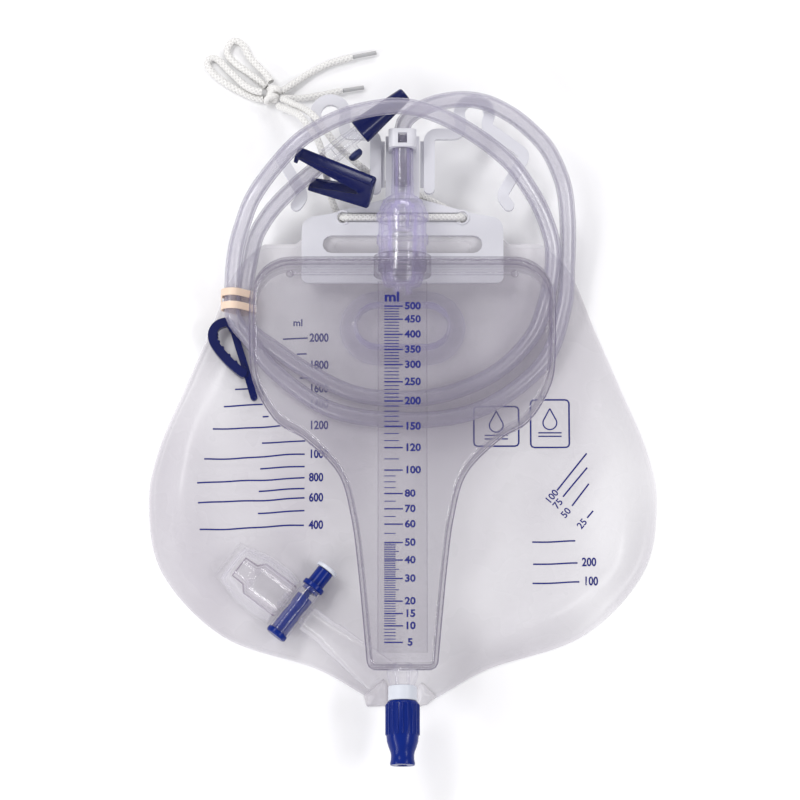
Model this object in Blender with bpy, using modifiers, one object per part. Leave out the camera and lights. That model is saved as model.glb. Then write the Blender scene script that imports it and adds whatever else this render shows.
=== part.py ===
"""Urine drainage bag with a rigid measuring chamber, lying on its back.

+X is to the right of the front face, +Y runs up to the hanger and +Z is the front.
The film bag rests on Z = 0 and the origin is under the middle of the object.
"""

import math

import bmesh
import bpy
from mathutils import Matrix, Vector

MM = 0.001

# Air left between pieces that touch
GAP = 0.3 * MM

# Film bag
BAG_HALF_WIDTH = 152.5 * MM
BAG_TOP = 115 * MM
BAG_BOTTOM = -165.5 * MM
BAG_DEPTH = 7 * MM
FILM = 0.8 * MM
HEADER_HALF_WIDTH = 84.5 * MM
TAB_HALF_WIDTH = 58 * MM
TAB_RISE = 6 * MM
NECK_HALF_WIDTH = 10 * MM

# Hanger
PLATE_FRONT = 20 * MM
PLATE_THICKNESS = 3 * MM
PLATE_HALF_WIDTH = 61 * MM
PLATE_BOTTOM = 90 * MM
PLATE_SHOULDER = 133 * MM
PLATE_PEAK = 142 * MM
WINDOW_HALF_WIDTH = 48.3 * MM
WINDOW_HEIGHT = 11 * MM
WINDOW_CENTRE = 113.9 * MM
ROPE_HOLE_X = 36 * MM
ROPE_HOLE_Y = 130.6 * MM
ROPE_GROOVE_DEPTH = 1.8 * MM
COLUMN_HALF_WIDTH = 10.2 * MM
COLUMN_TOP = 178.4 * MM
CAP_DOME_TOP = 139 * MM
COLUMN_FOOT = CAP_DOME_TOP + 0.8 * MM
ARM_THICKNESS = 3.5 * MM
ARM_WIDTH = 6.8 * MM
CLIP_HALF_WIDTH = 8.4 * MM
CLIP_BOTTOM = 168 * MM
CLIP_WALL = 2 * MM
CLIP_WINDOW = 5.4 * MM

# Hooks
HINGE_X = COLUMN_HALF_WIDTH + GAP
HOOK_ARM_X = 16.2 * MM
HOOK_ARM_BOTTOM = 146 * MM
HOOK_BEAM_Y = 180 * MM
RING_X = 43.5 * MM
RING_Y = 192.45 * MM
RING_RADIUS = 9.15 * MM
WEB_THICKNESS = 0.8 * MM

# Measuring chamber
METER_HALF_WIDTH = 90.6 * MM
METER_TOP = 98.7 * MM
METER_BOTTOM = -147.6 * MM
METER_CORNER = 24.6 * MM
METER_FOOT_HALF_WIDTH = 20 * MM
METER_HALF_DEPTH = 17.7 * MM
METER_WALL = 1.5 * MM
METER_ROUNDING = 5 * MM
COLUMN_DEPTH_RATIO = 0.54
SEAM_LIP = 1.2 * MM
STRIP_HALF_WIDTH = 14.7 * MM
STRIP_RISE = 0.7 * MM
AXIS_Z = PLATE_FRONT + GAP + METER_HALF_DEPTH

# Overflow duct
DUCT_HALF_LENGTH = 29 * MM
DUCT_HALF_HEIGHT = 13.8 * MM
DUCT_CENTRE_Y = 64.5 * MM
DUCT_WALL = 1.5 * MM
DUCT_FLANGE = 9 * MM
DUCT_FLANGE_THICKNESS = 1 * MM

# Drip chamber
DRIP_RADIUS = 14.4 * MM
DRIP_WALL = 1.5 * MM
DRIP_TOP = 124 * MM
DRIP_SEAT = 93.6 * MM
DRIP_RING_Y = 111.9 * MM
CAP_FLANGE_RADIUS = 15.8 * MM
CAP_FLANGE_TOP = 128 * MM
SOCKET_RADIUS = 6.5 * MM
SOCKET_TOP = 179 * MM
SPIGOT_BOTTOM = 119 * MM
BOSS_RADIUS = 17.4 * MM
BOSS_TOP = 101.5 * MM
BOSS_BOTTOM = 90 * MM
BOWL_RADIUS = 12.6 * MM
BOWL_BOTTOM = 79 * MM

# Chamber outlet
NOZZLE_RADIUS = 5.6 * MM
NOZZLE_BORE = 4.2 * MM
NOZZLE_SHOULDER = 9.4 * MM
COLLAR_RADIUS = 8.5 * MM
COLLAR_TOP = -158.3 * MM
COLLAR_BOTTOM = -167 * MM
TWIST_RADIUS = 10.2 * MM
TWIST_BOTTOM = -205 * MM
TWIST_RIB_BOTTOM = -187.5 * MM
TWIST_RIBS = 20

# Inlet tube
TUBE_RADIUS = 5 * MM

# Drain tap
TAP_CENTRE = Vector((88.8 * MM - BAG_HALF_WIDTH, BAG_BOTTOM + 56.7 * MM, BAG_DEPTH + 8.2 * MM))
TAP_ANGLE = math.radians(52.5)
TAP_STUB_LENGTH = 11 * MM
TAP_SPIGOT_LENGTH = 9 * MM
POCKET_HALF_WIDTH = 16 * MM
POCKET_END = 48.5 * MM
TAP_RADIUS = 6.6 * MM
TAP_BORE = 5.6 * MM
TAP_TOP = 15.6 * MM
TAP_BOTTOM = -16.5 * MM
TAP_TRAVEL = 8 * MM
SPOUT_RADIUS = 10.9 * MM
SPOUT_TIP_RADIUS = 6.5 * MM
SPOUT_LENGTH = 42.6 * MM
SPOUT_FLATNESS = 0.68

# Connector on the end of the inlet tube
LINE_START = Vector((-45.3, 161.7, 42)) * MM
LINE_ANGLE = math.radians(38.6)
LINE_RISE = math.radians(8)
SLEEVE_RADIUS = 6.3 * MM
SLEEVE_LENGTH = 15 * MM
CONE_START = 23 * MM
CONE_LENGTH = 26 * MM
CAP_START = 25 * MM
CAP_LENGTH = 36 * MM
CAP_RADIUS = 8.2 * MM
CAP_TIP_RADIUS = 4.6 * MM
CAP_TRAVEL = 26 * MM

# Pinch clamp
CLAMP_CENTRE = Vector((-55.6, 153.9, 41)) * MM
CLAMP_LENGTH = 39 * MM
CLAMP_DEPTH = 8 * MM
CLAMP_HEIGHT = 24 * MM

# Sheet clip
SHEET_CLIP_BOTTOM = BAG_DEPTH + GAP
SHEET_CLIP_WIDTH = 5.4 * MM
SHEET_CLIP_ARM = 3.1 * MM
SHEET_CLIP_JAW = 5 * MM

# Rope
ROPE_RADIUS = 2.1 * MM
ROPE_TIP_RADIUS = 1.3 * MM

COLLECTION = bpy.data.collections.new("urine_drainage_bag")
CUTTERS = bpy.data.collections.new("cutters")


# Helpers

def clear_scene():
    """Remove what the file holds, so that the script starts from nothing."""
    for obj in list(bpy.data.objects):
        bpy.data.objects.remove(obj, do_unlink=True)
    bpy.context.scene.collection.children.link(COLLECTION)
    bpy.context.scene.collection.children.link(CUTTERS)


def mm(*points):
    """Vectors in metres from points in millimetres."""
    return [Vector(point) * MM for point in points]


def arc(cx, cy, radius, start, end, steps):
    """Points on a circular arc, angles in degrees."""
    angles = [math.radians(start + (end - start) * i / steps) for i in range(steps + 1)]
    return [Vector((cx + radius * math.cos(a), cy + radius * math.sin(a))) for a in angles]


def fillet_path(corners, steps=5):
    """Straight runs through (x, y, radius) corners, rounded at each corner."""
    points = [Vector(corners[0][:2])]
    for before, here, after in zip(corners, corners[1:], corners[2:]):
        corner = Vector(here[:2])
        if here[2] == 0:
            points.append(corner)
            continue
        into = (Vector(before[:2]) - corner).normalized()
        out = (Vector(after[:2]) - corner).normalized()
        half = into.angle(out) / 2
        reach = here[2] / math.tan(half)
        centre = corner + (into + out).normalized() * here[2] / math.sin(half)
        first = corner + into * reach - centre
        turn = first.angle_signed(corner + out * reach - centre)
        for i in range(steps + 1):
            spin = -turn * i / steps
            points.append(centre + Matrix.Rotation(spin, 2) @ first)
    points.append(Vector(corners[-1][:2]))
    return points


def smooth(points, steps, closed=False):
    """A Catmull-Rom curve through the points."""
    points = [Vector(p) for p in points]
    count = len(points)
    spans = count if closed else count - 1
    curve = []
    for i in range(spans):
        if closed:
            a, b, c, d = (points[(i + k - 1) % count] for k in range(4))
        else:
            a, b, c, d = (points[min(max(i + k - 1, 0), count - 1)] for k in range(4))
        for j in range(steps):
            t = j / steps
            curve.append(0.5 * (2 * b + (c - a) * t + (2 * a - 5 * b + 4 * c - d) * t * t
                                + (3 * b - a - 3 * c + d) * t * t * t))
    if not closed:
        curve.append(points[-1])
    return curve


def evenly(points, spacing):
    """Points at an even spacing along a polyline."""
    lengths = [0.0]
    for a, b in zip(points, points[1:]):
        lengths.append(lengths[-1] + (b - a).length)
    count = max(2, round(lengths[-1] / spacing))
    result = []
    index = 0
    for i in range(count + 1):
        target = lengths[-1] * i / count
        while index < len(points) - 2 and lengths[index + 1] < target:
            index += 1
        span = lengths[index + 1] - lengths[index]
        result.append(points[index].lerp(points[index + 1], (target - lengths[index]) / span))
    return result


def mirrored(half):
    """A closed outline from its right half, which runs down from a flat top to a flat bottom."""
    right = [p for p in half if p.x > GAP]
    return right + [Vector((-p.x, p.y)) for p in reversed(right)]


def grown(outline, distance):
    """A clockwise outline moved outward by a distance."""
    result = []
    for before, here, after in zip(outline[-1:] + outline, outline, outline[1:] + outline[:1]):
        first = (here - before).normalized()
        second = (after - here).normalized()
        normal = Vector((-first.y, first.x)) + Vector((-second.y, second.x))
        normal.normalize()
        stretch = max(0.5, normal.dot(Vector((-first.y, first.x))))
        result.append(here + normal * distance / stretch)
    return result


def obround(half_length, half_height, cx=0.0, cy=0.0, steps=8):
    """A slot shape with round ends, lying along X."""
    reach = half_length - half_height
    right = arc(cx + reach, cy, half_height, 90, -90, steps)
    return right + arc(cx - reach, cy, half_height, 270, 90, steps)


def ribbon(path, width):
    """The outline of a strip of even width along a path, with round ends."""
    radius = width / 2
    left, right = [], []
    for i, here in enumerate(path):
        along = (path[min(i + 1, len(path) - 1)] - path[max(i - 1, 0)]).normalized()
        side = Vector((-along.y, along.x)) * radius
        left.append(here + side)
        right.append(here - side)
    start = math.degrees(math.atan2(*(left[-1] - path[-1]).yx))
    end_cap = arc(path[-1].x, path[-1].y, radius, start, start - 180, 6)[1:-1]
    start = math.degrees(math.atan2(*(right[0] - path[0]).yx))
    start_cap = arc(path[0].x, path[0].y, radius, start, start - 180, 6)[1:-1]
    return left + end_cap + right[::-1] + start_cap


def place(obj, collection=COLLECTION):
    """Put an object in one collection only."""
    for other in list(obj.users_collection):
        other.objects.unlink(obj)
    collection.objects.link(obj)
    return obj


def new_object(name, data):
    return place(bpy.data.objects.new(name, data))


def finish(obj, colour, roughness, alpha=1.0):
    """Give a sub-part its own material."""
    material = bpy.data.materials.new(obj.name)
    material.use_nodes = True
    shader = material.node_tree.nodes["Principled BSDF"]
    shader.inputs["Base Color"].default_value = (*colour, 1)
    shader.inputs["Roughness"].default_value = roughness
    shader.inputs["Alpha"].default_value = alpha
    obj.data.materials.append(material)
    return obj


def to_mesh(obj):
    """Turn an object with its modifiers into a plain mesh object with welded caps."""
    depsgraph = bpy.context.evaluated_depsgraph_get()
    mesh = bpy.data.meshes.new_from_object(obj.evaluated_get(depsgraph))
    name = obj.name
    matrix = obj.matrix_world.copy()
    bpy.data.objects.remove(obj, do_unlink=True)
    work = bmesh.new()
    work.from_mesh(mesh)
    bmesh.ops.remove_doubles(work, verts=work.verts, dist=0.01 * MM)
    bmesh.ops.recalc_face_normals(work, faces=work.faces)
    work.to_mesh(mesh)
    work.free()
    mesh.name = name
    result = new_object(name, mesh)
    result.matrix_world = matrix
    return result


def slab(name, loops, bottom, top, edge=0.0, edge_steps=1):
    """A flat piece from 2D loops, outer loop first, between two heights."""
    curve = bpy.data.curves.new(name, "CURVE")
    curve.dimensions = "2D"
    curve.fill_mode = "BOTH"
    curve.extrude = (top - bottom) / 2 - edge
    curve.bevel_depth = edge
    curve.bevel_resolution = edge_steps
    curve.offset = -edge
    for loop in loops:
        spline = curve.splines.new("POLY")
        spline.points.add(len(loop) - 1)
        for point, position in zip(spline.points, loop):
            point.co = (position.x, position.y, 0, 1)
        spline.use_cyclic_u = True
    obj = new_object(name, curve)
    obj.location.z = (top + bottom) / 2
    bpy.context.view_layer.update()
    return to_mesh(obj)


def tube(name, points, radius, resolution=2):
    """A round tube with filled caps along the points."""
    curve = bpy.data.curves.new(name, "CURVE")
    curve.dimensions = "3D"
    curve.bevel_depth = radius
    curve.bevel_resolution = resolution
    curve.use_fill_caps = True
    spline = curve.splines.new("POLY")
    spline.points.add(len(points) - 1)
    for point, position in zip(spline.points, points):
        point.co = (*position, 1)
        spline.use_smooth = True
    return new_object(name, curve)


def aim(obj, origin, direction):
    """Put an object's own Z axis along a direction."""
    turn = Vector(direction).to_track_quat("Z", "Y").to_matrix().to_4x4()
    obj.matrix_world = Matrix.Translation(origin) @ turn
    return obj


def turned(name, profile, origin, direction, closed=False, steps=24):
    """A turned piece: (radius, height) profile down its outer side, then up its inner side."""
    mesh = bpy.data.meshes.new(name)
    count = len(profile)
    edges = [(i, i + 1) for i in range(count - 1)]
    if closed:
        edges.append((count - 1, 0))
    mesh.from_pydata([(r, 0, h) for r, h in profile], edges, [])
    obj = new_object(name, mesh)
    screw = obj.modifiers.new("turn", "SCREW")
    screw.axis = "Z"
    screw.steps = steps
    screw.render_steps = steps
    screw.use_merge_vertices = True
    screw.merge_threshold = 0.01 * MM
    screw.use_smooth_shade = True
    return aim(obj, origin, direction)


def box(name, low, high):
    """A box between two corners."""
    mesh = bpy.data.meshes.new(name)
    work = bmesh.new()
    bmesh.ops.create_cube(work, size=1)
    low, high = Vector(low), Vector(high)
    size = high - low
    bmesh.ops.scale(work, vec=size, verts=work.verts)
    bmesh.ops.translate(work, vec=(low + high) / 2, verts=work.verts)
    work.to_mesh(mesh)
    work.free()
    return new_object(name, mesh)


def rod(name, radius, start, end, steps=24):
    """A plain round rod between two points."""
    mesh = bpy.data.meshes.new(name)
    work = bmesh.new()
    start, end = Vector(start), Vector(end)
    bmesh.ops.create_cone(work, cap_ends=True, segments=steps, radius1=radius, radius2=radius,
                          depth=(end - start).length)
    work.to_mesh(mesh)
    work.free()
    return aim(new_object(name, mesh), (start + end) / 2, end - start)


def combine(obj, tool, operation):
    modifier = obj.modifiers.new(tool.name, "BOOLEAN")
    modifier.operation = operation
    modifier.object = tool
    modifier.solver = "EXACT"
    place(tool, CUTTERS)
    tool.hide_render = True
    tool.display_type = "WIRE"
    return obj


def cut(obj, *tools):
    for tool in tools:
        combine(obj, tool, "DIFFERENCE")
    return obj


def join(obj, *tools):
    for tool in tools:
        combine(obj, tool, "UNION")
    return obj


def set_origin(obj, point):
    """Move a mesh object's origin without moving its shape."""
    shift = obj.matrix_world.inverted() @ Vector(point)
    obj.data.transform(Matrix.Translation(-shift))
    obj.matrix_world = obj.matrix_world @ Matrix.Translation(shift)
    return obj


def loft(name, rings):
    """A closed solid through rings with the same number of points."""
    mesh = bpy.data.meshes.new(name)
    work = bmesh.new()
    rows = [[work.verts.new(p) for p in ring] for ring in rings]
    for low, high in zip(rows, rows[1:]):
        for i in range(len(low)):
            j = (i + 1) % len(low)
            work.faces.new((low[i], low[j], high[j], high[i]))
    work.faces.new(rows[0][::-1])
    work.faces.new(rows[-1])
    bmesh.ops.recalc_face_normals(work, faces=work.faces)
    work.to_mesh(mesh)
    work.free()
    return new_object(name, mesh)


# Film bag

def bag_outline():
    """The bag's welded edge: header, round shoulders, wide belly and narrow neck."""
    corner = HEADER_HALF_WIDTH
    side = smooth([
        (corner, BAG_TOP),
        (corner + 18.5 * MM, BAG_TOP - 17 * MM),
        (BAG_HALF_WIDTH - 36.5 * MM, BAG_TOP - 49 * MM),
        (BAG_HALF_WIDTH - 21.5 * MM, BAG_TOP - 85 * MM),
        (BAG_HALF_WIDTH - 6 * MM, BAG_TOP - 123 * MM),
        (BAG_HALF_WIDTH, BAG_TOP - 157 * MM),
        (BAG_HALF_WIDTH - 8.5 * MM, BAG_BOTTOM + 81 * MM),
        (BAG_HALF_WIDTH - 45.5 * MM, BAG_BOTTOM + 42.5 * MM),
        (NECK_HALF_WIDTH + 42 * MM, BAG_BOTTOM + 23.5 * MM),
        (NECK_HALF_WIDTH + 14 * MM, BAG_BOTTOM + 8 * MM),
        (NECK_HALF_WIDTH, BAG_BOTTOM)], 3)
    top = [Vector((x, BAG_TOP + TAB_RISE)) for x in (0.0, TAB_HALF_WIDTH)]
    top.append(Vector((TAB_HALF_WIDTH + 6 * MM, BAG_TOP)))
    return mirrored(top + side + [Vector((0.0, BAG_BOTTOM))])


def header_share(y):
    """0 on the bag's body, rising to 1 at the header's edge."""
    reach = 33 * MM
    t = min(1.0, max(0.0, (y - BAG_TOP - TAB_RISE + reach) / reach))
    return t * t * (3 - 2 * t)


def header_lift(y):
    """How far the film rises towards the hanger plate, whose back it meets."""
    return (PLATE_FRONT - PLATE_THICKNESS - GAP - FILM) * header_share(y)


def build_bag():
    """The film bag as one flat pillow, with a thin welded edge."""
    outline = bag_outline()
    centre = Vector((0, -25 * MM))
    steps = [(0.0, FILM), (0.035, FILM), (0.08, 0.64 * BAG_DEPTH), (0.15, 0.94 * BAG_DEPTH),
             (0.24, BAG_DEPTH), (0.55, BAG_DEPTH)]
    rings = []
    for share, depth in steps:
        ring = []
        for p in outline:
            q = p.lerp(centre, share)
            filled = FILM + (depth - FILM) * (1 - header_share(q.y))
            ring.append(Vector((q.x, q.y, header_lift(q.y) + filled)))
        rings.append(ring)
    back = []
    for share, depth in reversed(steps[:1] + steps[3:]):
        back.append([Vector((*p.lerp(centre, share), header_lift(p.lerp(centre, share).y)))
                     for p in outline])
    bag = loft("bag", back + rings)
    return finish(bag, (0.78, 0.76, 0.82), 0.45, 0.7)


def pocket_height(across):
    """Height of the pocket's film over the spout, across runs from -1 to 1."""
    return (1 - abs(across) ** 2.6) ** 0.625


def build_bag_pocket():
    """The film pocket that the spout is tucked into, open towards the tap."""
    along, over = tap_axes()
    half_width = POCKET_HALF_WIDTH
    near, far = TAP_SPIGOT_LENGTH, POCKET_END
    crown = TAP_CENTRE.z + SPOUT_RADIUS * SPOUT_FLATNESS + 3 * GAP
    foot = BAG_DEPTH + GAP
    work = bmesh.new()
    rows = []
    columns = [math.sin(math.pi / 2 * (i / 6 - 1)) for i in range(13)]
    for distance, rise, width in [(near, 1.0, 1.0), (22 * MM, 1.0, 1.0), (33 * MM, 1.0, 0.97),
                                  (43.6 * MM, 0.9, 0.84), (46.5 * MM, 0.45, 0.8), (far, 0.0, 0.76)]:
        row = []
        for across in columns:
            side = across * half_width * width
            z = foot + (crown - foot) * rise * pocket_height(across)
            row.append(work.verts.new(TAP_CENTRE.xy.to_3d() + along * side + over * distance
                                      + Vector((0, 0, z))))
        rows.append(row)
    for low, high in zip(rows, rows[1:]):
        for i in range(len(low) - 1):
            work.faces.new((low[i], low[i + 1], high[i + 1], high[i]))
    for face in work.faces:
        face.normal_update()
    if sum(face.normal.z for face in work.faces) < 0:
        bmesh.ops.reverse_faces(work, faces=work.faces)
    mesh = bpy.data.meshes.new("bag_pocket")
    work.to_mesh(mesh)
    work.free()
    pocket = new_object("bag_pocket", mesh)
    shell = pocket.modifiers.new("film", "SOLIDIFY")
    shell.thickness = 0.4 * MM
    shell.offset = 1
    return finish(pocket, (0.85, 0.84, 0.9), 0.3, 0.4)


# Drain tap

def tap_axes():
    """The tap's sliding axis and its flow axis, which points to the spout."""
    along = Vector((math.cos(TAP_ANGLE), math.sin(TAP_ANGLE), 0))
    over = Vector((-math.sin(TAP_ANGLE), math.cos(TAP_ANGLE), 0))
    return along, over


def build_outlet_sleeve():
    """The soft drain sleeve, round at the tap and flat where the bag's neck is folded up."""
    along, over = tap_axes()
    start = TAP_CENTRE - over * (TAP_SPIGOT_LENGTH + GAP)
    neck = Vector((-13 * MM, BAG_BOTTOM + 17.5 * MM, BAG_DEPTH + 3.2 * MM))
    sections = [
        (start, 8.2, 7.3), (TAP_CENTRE + Vector((19.7, -15, -0.3)) * MM, 8.2, 7.2),
        (TAP_CENTRE + Vector((21.1, -16.1, -0.3)) * MM, 9.2, 7.1),
        (TAP_CENTRE + Vector((30.7, -23.7, -1.6)) * MM, 9.4, 5.6),
        (TAP_CENTRE + Vector((39.7, -30.7, -3.2)) * MM, 10.6, 3.9), (neck, 11.2, 2.2)]
    rings = []
    for centre, width, height in sections:
        ring = []
        for i in range(16):
            angle = math.tau * i / 16
            ring.append(centre + along * width * MM * math.cos(angle)
                        + Vector((0, 0, height * MM * math.sin(angle))))
        rings.append(ring)
    return finish(loft("outlet_sleeve", rings), (0.82, 0.8, 0.86), 0.35, 0.5)


def build_tap_body():
    """The clear cross tube with its inlet spigot and outlet stub."""
    along, over = tap_axes()
    body = rod("tap_body", TAP_RADIUS, TAP_CENTRE + along * TAP_BOTTOM, TAP_CENTRE + along * TAP_TOP)
    stub = rod("tap_stub", 4.2 * MM, TAP_CENTRE, TAP_CENTRE + over * TAP_STUB_LENGTH, 20)
    spigot = rod("tap_spigot", 6 * MM, TAP_CENTRE, TAP_CENTRE - over * TAP_SPIGOT_LENGTH, 20)
    reach = TAP_TOP - TAP_BOTTOM
    bore = rod("tap_bore", TAP_BORE, TAP_CENTRE - along * reach, TAP_CENTRE + along * reach)
    flow = rod("tap_flow", 3 * MM, TAP_CENTRE - over * 20 * MM, TAP_CENTRE + over * 20 * MM, 20)
    join(body, stub, spigot)
    cut(body, bore, flow)
    return finish(body, (0.85, 0.87, 0.92), 0.1, 0.3)


def build_tap_collar():
    """The blue ring that retains the piston at the cross tube's upper end."""
    along, over = tap_axes()
    low, high = TAP_TOP + GAP, TAP_TOP + GAP + 3 * MM
    inner = TAP_BORE - 0.1 * MM
    outer = TAP_RADIUS + 0.4 * MM
    ring = [(outer, high), (outer, low), (inner, low), (inner, high)]
    return finish(turned("tap_collar", ring, TAP_CENTRE, along, closed=True), (0.01, 0.08, 0.35), 0.3)


def build_tap_piston():
    """The blue piston: knob, stem, waisted spool, lower stem and end flange."""
    along, over = tap_axes()
    sliding = TAP_BORE - GAP
    knob = sliding - 0.2 * MM
    knob_top = TAP_TOP + 2 * GAP + 3 * MM + TAP_TRAVEL + 2 * MM
    flange = TAP_BOTTOM - GAP
    profile = [(0, knob_top), (knob, knob_top), (knob, 13.5 * MM), (2 * MM, 13.2 * MM),
               (2 * MM, 9.6 * MM), (sliding, 9.3 * MM), (sliding, 4.5 * MM), (3.6 * MM, 2.2 * MM),
               (3.6 * MM, -2.2 * MM), (sliding, -4.5 * MM), (sliding, -8.6 * MM),
               (4.4 * MM, -8.9 * MM), (4.4 * MM, flange), (TAP_RADIUS, flange),
               (TAP_RADIUS, flange - 2.6 * MM), (TAP_RADIUS - 0.8 * MM, flange - 3.4 * MM),
               (0, flange - 3.4 * MM)]
    return finish(turned("tap_piston", profile, TAP_CENTRE, along), (0.01, 0.08, 0.35), 0.25)


def build_tap_end_cap():
    """The white dished cap on the knob's end."""
    along, over = tap_axes()
    low = TAP_TOP + 3 * GAP + 3 * MM + TAP_TRAVEL + 2 * MM
    radius = TAP_RADIUS + 0.2 * MM
    profile = [(0, low + 1.6 * MM), (radius - 2.6 * MM, low + 1.6 * MM), (radius - 2 * MM, low + 2.4 * MM),
               (radius - 0.5 * MM, low + 2.4 * MM), (radius, low + 1.9 * MM), (radius, low), (0, low)]
    return finish(turned("tap_end_cap", profile, TAP_CENTRE, along), (0.9, 0.9, 0.92), 0.4)


def build_tap_spout():
    """The clear oval spout with its stepped tip."""
    along, over = tap_axes()
    wall = 1.4 * MM
    back = TAP_RADIUS + 2 * GAP
    tip = SPOUT_TIP_RADIUS
    profile = [(tip, SPOUT_LENGTH), (tip + 0.4 * MM, SPOUT_LENGTH - 8.5 * MM),
               (SPOUT_RADIUS, SPOUT_LENGTH - 12 * MM), (SPOUT_RADIUS, back), (6.4 * MM, back),
               (6.4 * MM, back + wall), (SPOUT_RADIUS - wall, back + wall),
               (SPOUT_RADIUS - wall, SPOUT_LENGTH - 12.6 * MM),
               (tip + 0.4 * MM - wall, SPOUT_LENGTH - 9 * MM), (tip - wall, SPOUT_LENGTH)]
    spout = turned("tap_spout", profile, TAP_CENTRE, over, closed=True)
    flat = Matrix.Diagonal((1, 1, SPOUT_FLATNESS, 1))
    centre = Matrix.Translation(TAP_CENTRE)
    bpy.context.view_layer.update()
    spout.matrix_world = centre @ flat @ centre.inverted() @ spout.matrix_world
    return finish(spout, (0.85, 0.83, 0.88), 0.15, 0.35)


# Measuring chamber

def meter_outline():
    """The chamber's outline: wide top, round shoulders and a narrow column."""
    wide, foot = METER_HALF_WIDTH, METER_FOOT_HALF_WIDTH
    corner = arc(wide - METER_CORNER, METER_TOP - METER_CORNER, METER_CORNER, 90, 0, 6)
    side = smooth([
        (wide, METER_TOP - 50 * MM), (wide - 2.6 * MM, METER_TOP - 74 * MM),
        (wide - 15.6 * MM, METER_TOP - 96.7 * MM), (foot + 38 * MM, METER_TOP - 107.7 * MM),
        (foot + 17.5 * MM, METER_TOP - 128.7 * MM), (foot + 9.5 * MM, METER_TOP - 155 * MM),
        (foot + 5 * MM, METER_BOTTOM + 57.6 * MM), (foot, METER_BOTTOM + 4 * MM)], 2)
    base = arc(foot - 4 * MM, METER_BOTTOM + 4 * MM, 4 * MM, -10, -90, 3)
    top = [Vector((0.0, METER_TOP))]
    return mirrored(top + corner + side + base + [Vector((0.0, METER_BOTTOM))])


def depth_ratio(y):
    """The chamber is deep at the top and shallow in the column."""
    low, high = -34 * MM, 36 * MM
    t = min(1.0, max(0.0, (y - low) / (high - low)))
    return COLUMN_DEPTH_RATIO + (1 - COLUMN_DEPTH_RATIO) * t * t * (3 - 2 * t)


def meter_solid(name, outline, half_depth, rounding, edge_steps=1):
    """A slab of the outline whose depth follows the chamber."""
    obj = slab(name, [outline], -half_depth, half_depth, rounding, edge_steps)
    work = bmesh.new()
    work.from_mesh(obj.data)
    for i in range(7):
        level = (-34 + 70 * i / 6) * MM
        parts = work.verts[:] + work.edges[:] + work.faces[:]
        bmesh.ops.bisect_plane(work, geom=parts, plane_co=(0, level, 0), plane_no=(0, 1, 0))
    for vert in work.verts:
        vert.co.z *= depth_ratio(vert.co.y)
    work.to_mesh(obj.data)
    work.free()
    obj.location.z = AXIS_Z
    return obj


def meter_half(name, front):
    """One moulded half of the chamber, with its seam lip."""
    outline = meter_outline()
    sign = 1 if front else -1
    shell = meter_solid(name, outline, METER_HALF_DEPTH, METER_ROUNDING)
    lip_low, lip_high = sorted((AXIS_Z, AXIS_Z + sign * SEAM_LIP))
    lip = slab(name + "_lip", [grown(outline, SEAM_LIP)], lip_low, lip_high)
    boss = rod(name + "_boss", BOSS_RADIUS, (0, BOSS_BOTTOM, AXIS_Z), (0, BOSS_TOP, AXIS_Z), 40)
    cavity = meter_solid(name + "_cavity", grown(outline, -METER_WALL), METER_HALF_DEPTH - METER_WALL,
                         METER_ROUNDING - METER_WALL, 0)
    seat = rod(name + "_seat", DRIP_RADIUS + GAP, (0, DRIP_SEAT - GAP, AXIS_Z),
               (0, METER_TOP + 20 * MM, AXIS_Z), 40)
    mouth = rod(name + "_mouth", BOWL_RADIUS + GAP, (0, 60 * MM, AXIS_Z), (0, METER_TOP, AXIS_Z), 40)
    outlet = rod(name + "_outlet", NOZZLE_RADIUS + GAP, (0, METER_BOTTOM - 20 * MM, AXIS_Z),
                 (0, METER_BOTTOM + 6 * MM, AXIS_Z), 24)
    far = 0.3
    seam = AXIS_Z + sign * GAP / 2
    if front:
        other_side = box(name + "_other", (-far, -far, -far), (far, far, seam))
    else:
        other_side = box(name + "_other", (-far, -far, seam), (far, far, far))
    join(shell, lip)
    cut(shell, cavity)
    join(shell, boss)
    cut(shell, seat, mouth, outlet, other_side)
    return shell


def build_meter_front():
    """The front half, with the raised scale strip and the rib along the top."""
    shell = meter_half("meter_front_shell", True)
    half = STRIP_HALF_WIDTH
    bottom, top = METER_BOTTOM + 8 * MM, BOSS_BOTTOM - 8 * MM
    steps = [bottom, -34 * MM, -25 * MM, -16 * MM, -8 * MM, 1 * MM, 10 * MM, 18 * MM, 27 * MM,
             36 * MM, top]
    rings = []
    for y in steps:
        level = AXIS_Z + METER_HALF_DEPTH * depth_ratio(y)
        low, high = level - 0.6 * MM, level + STRIP_RISE
        rings.append([Vector((-half, y, low)), Vector((half, y, low)),
                      Vector((half, y, high)), Vector((-half, y, high))])
    strip = loft("scale_strip", rings)
    front = AXIS_Z + METER_HALF_DEPTH
    rib_y = METER_TOP - 11.8 * MM
    rib = slab("top_rib", [obround(67 * MM, 1 * MM, 0, rib_y, 4)], front - 0.6 * MM, front + 1 * MM)
    knobs = [slab("rib_knob", [arc(x, rib_y, 2.4 * MM, 0, -330, 11)], front - 0.7 * MM,
                  front + 1.3 * MM) for x in (-67 * MM, 67 * MM)]
    join(shell, strip, rib, *knobs)
    return finish(shell, (0.85, 0.84, 0.92), 0.05, 0.25)


def duct_loop(inset):
    return obround(DUCT_HALF_LENGTH - inset, DUCT_HALF_HEIGHT - inset, 0, DUCT_CENTRE_Y)


def build_meter_back():
    """The back half, with the opening into the overflow duct."""
    shell = meter_half("meter_back_shell", False)
    back = AXIS_Z - METER_HALF_DEPTH
    opening = slab("duct_opening", [duct_loop(DUCT_WALL)], back - 5 * MM, back + 5 * MM)
    cut(shell, opening)
    return finish(shell, (0.85, 0.84, 0.92), 0.05, 0.25)


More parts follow.
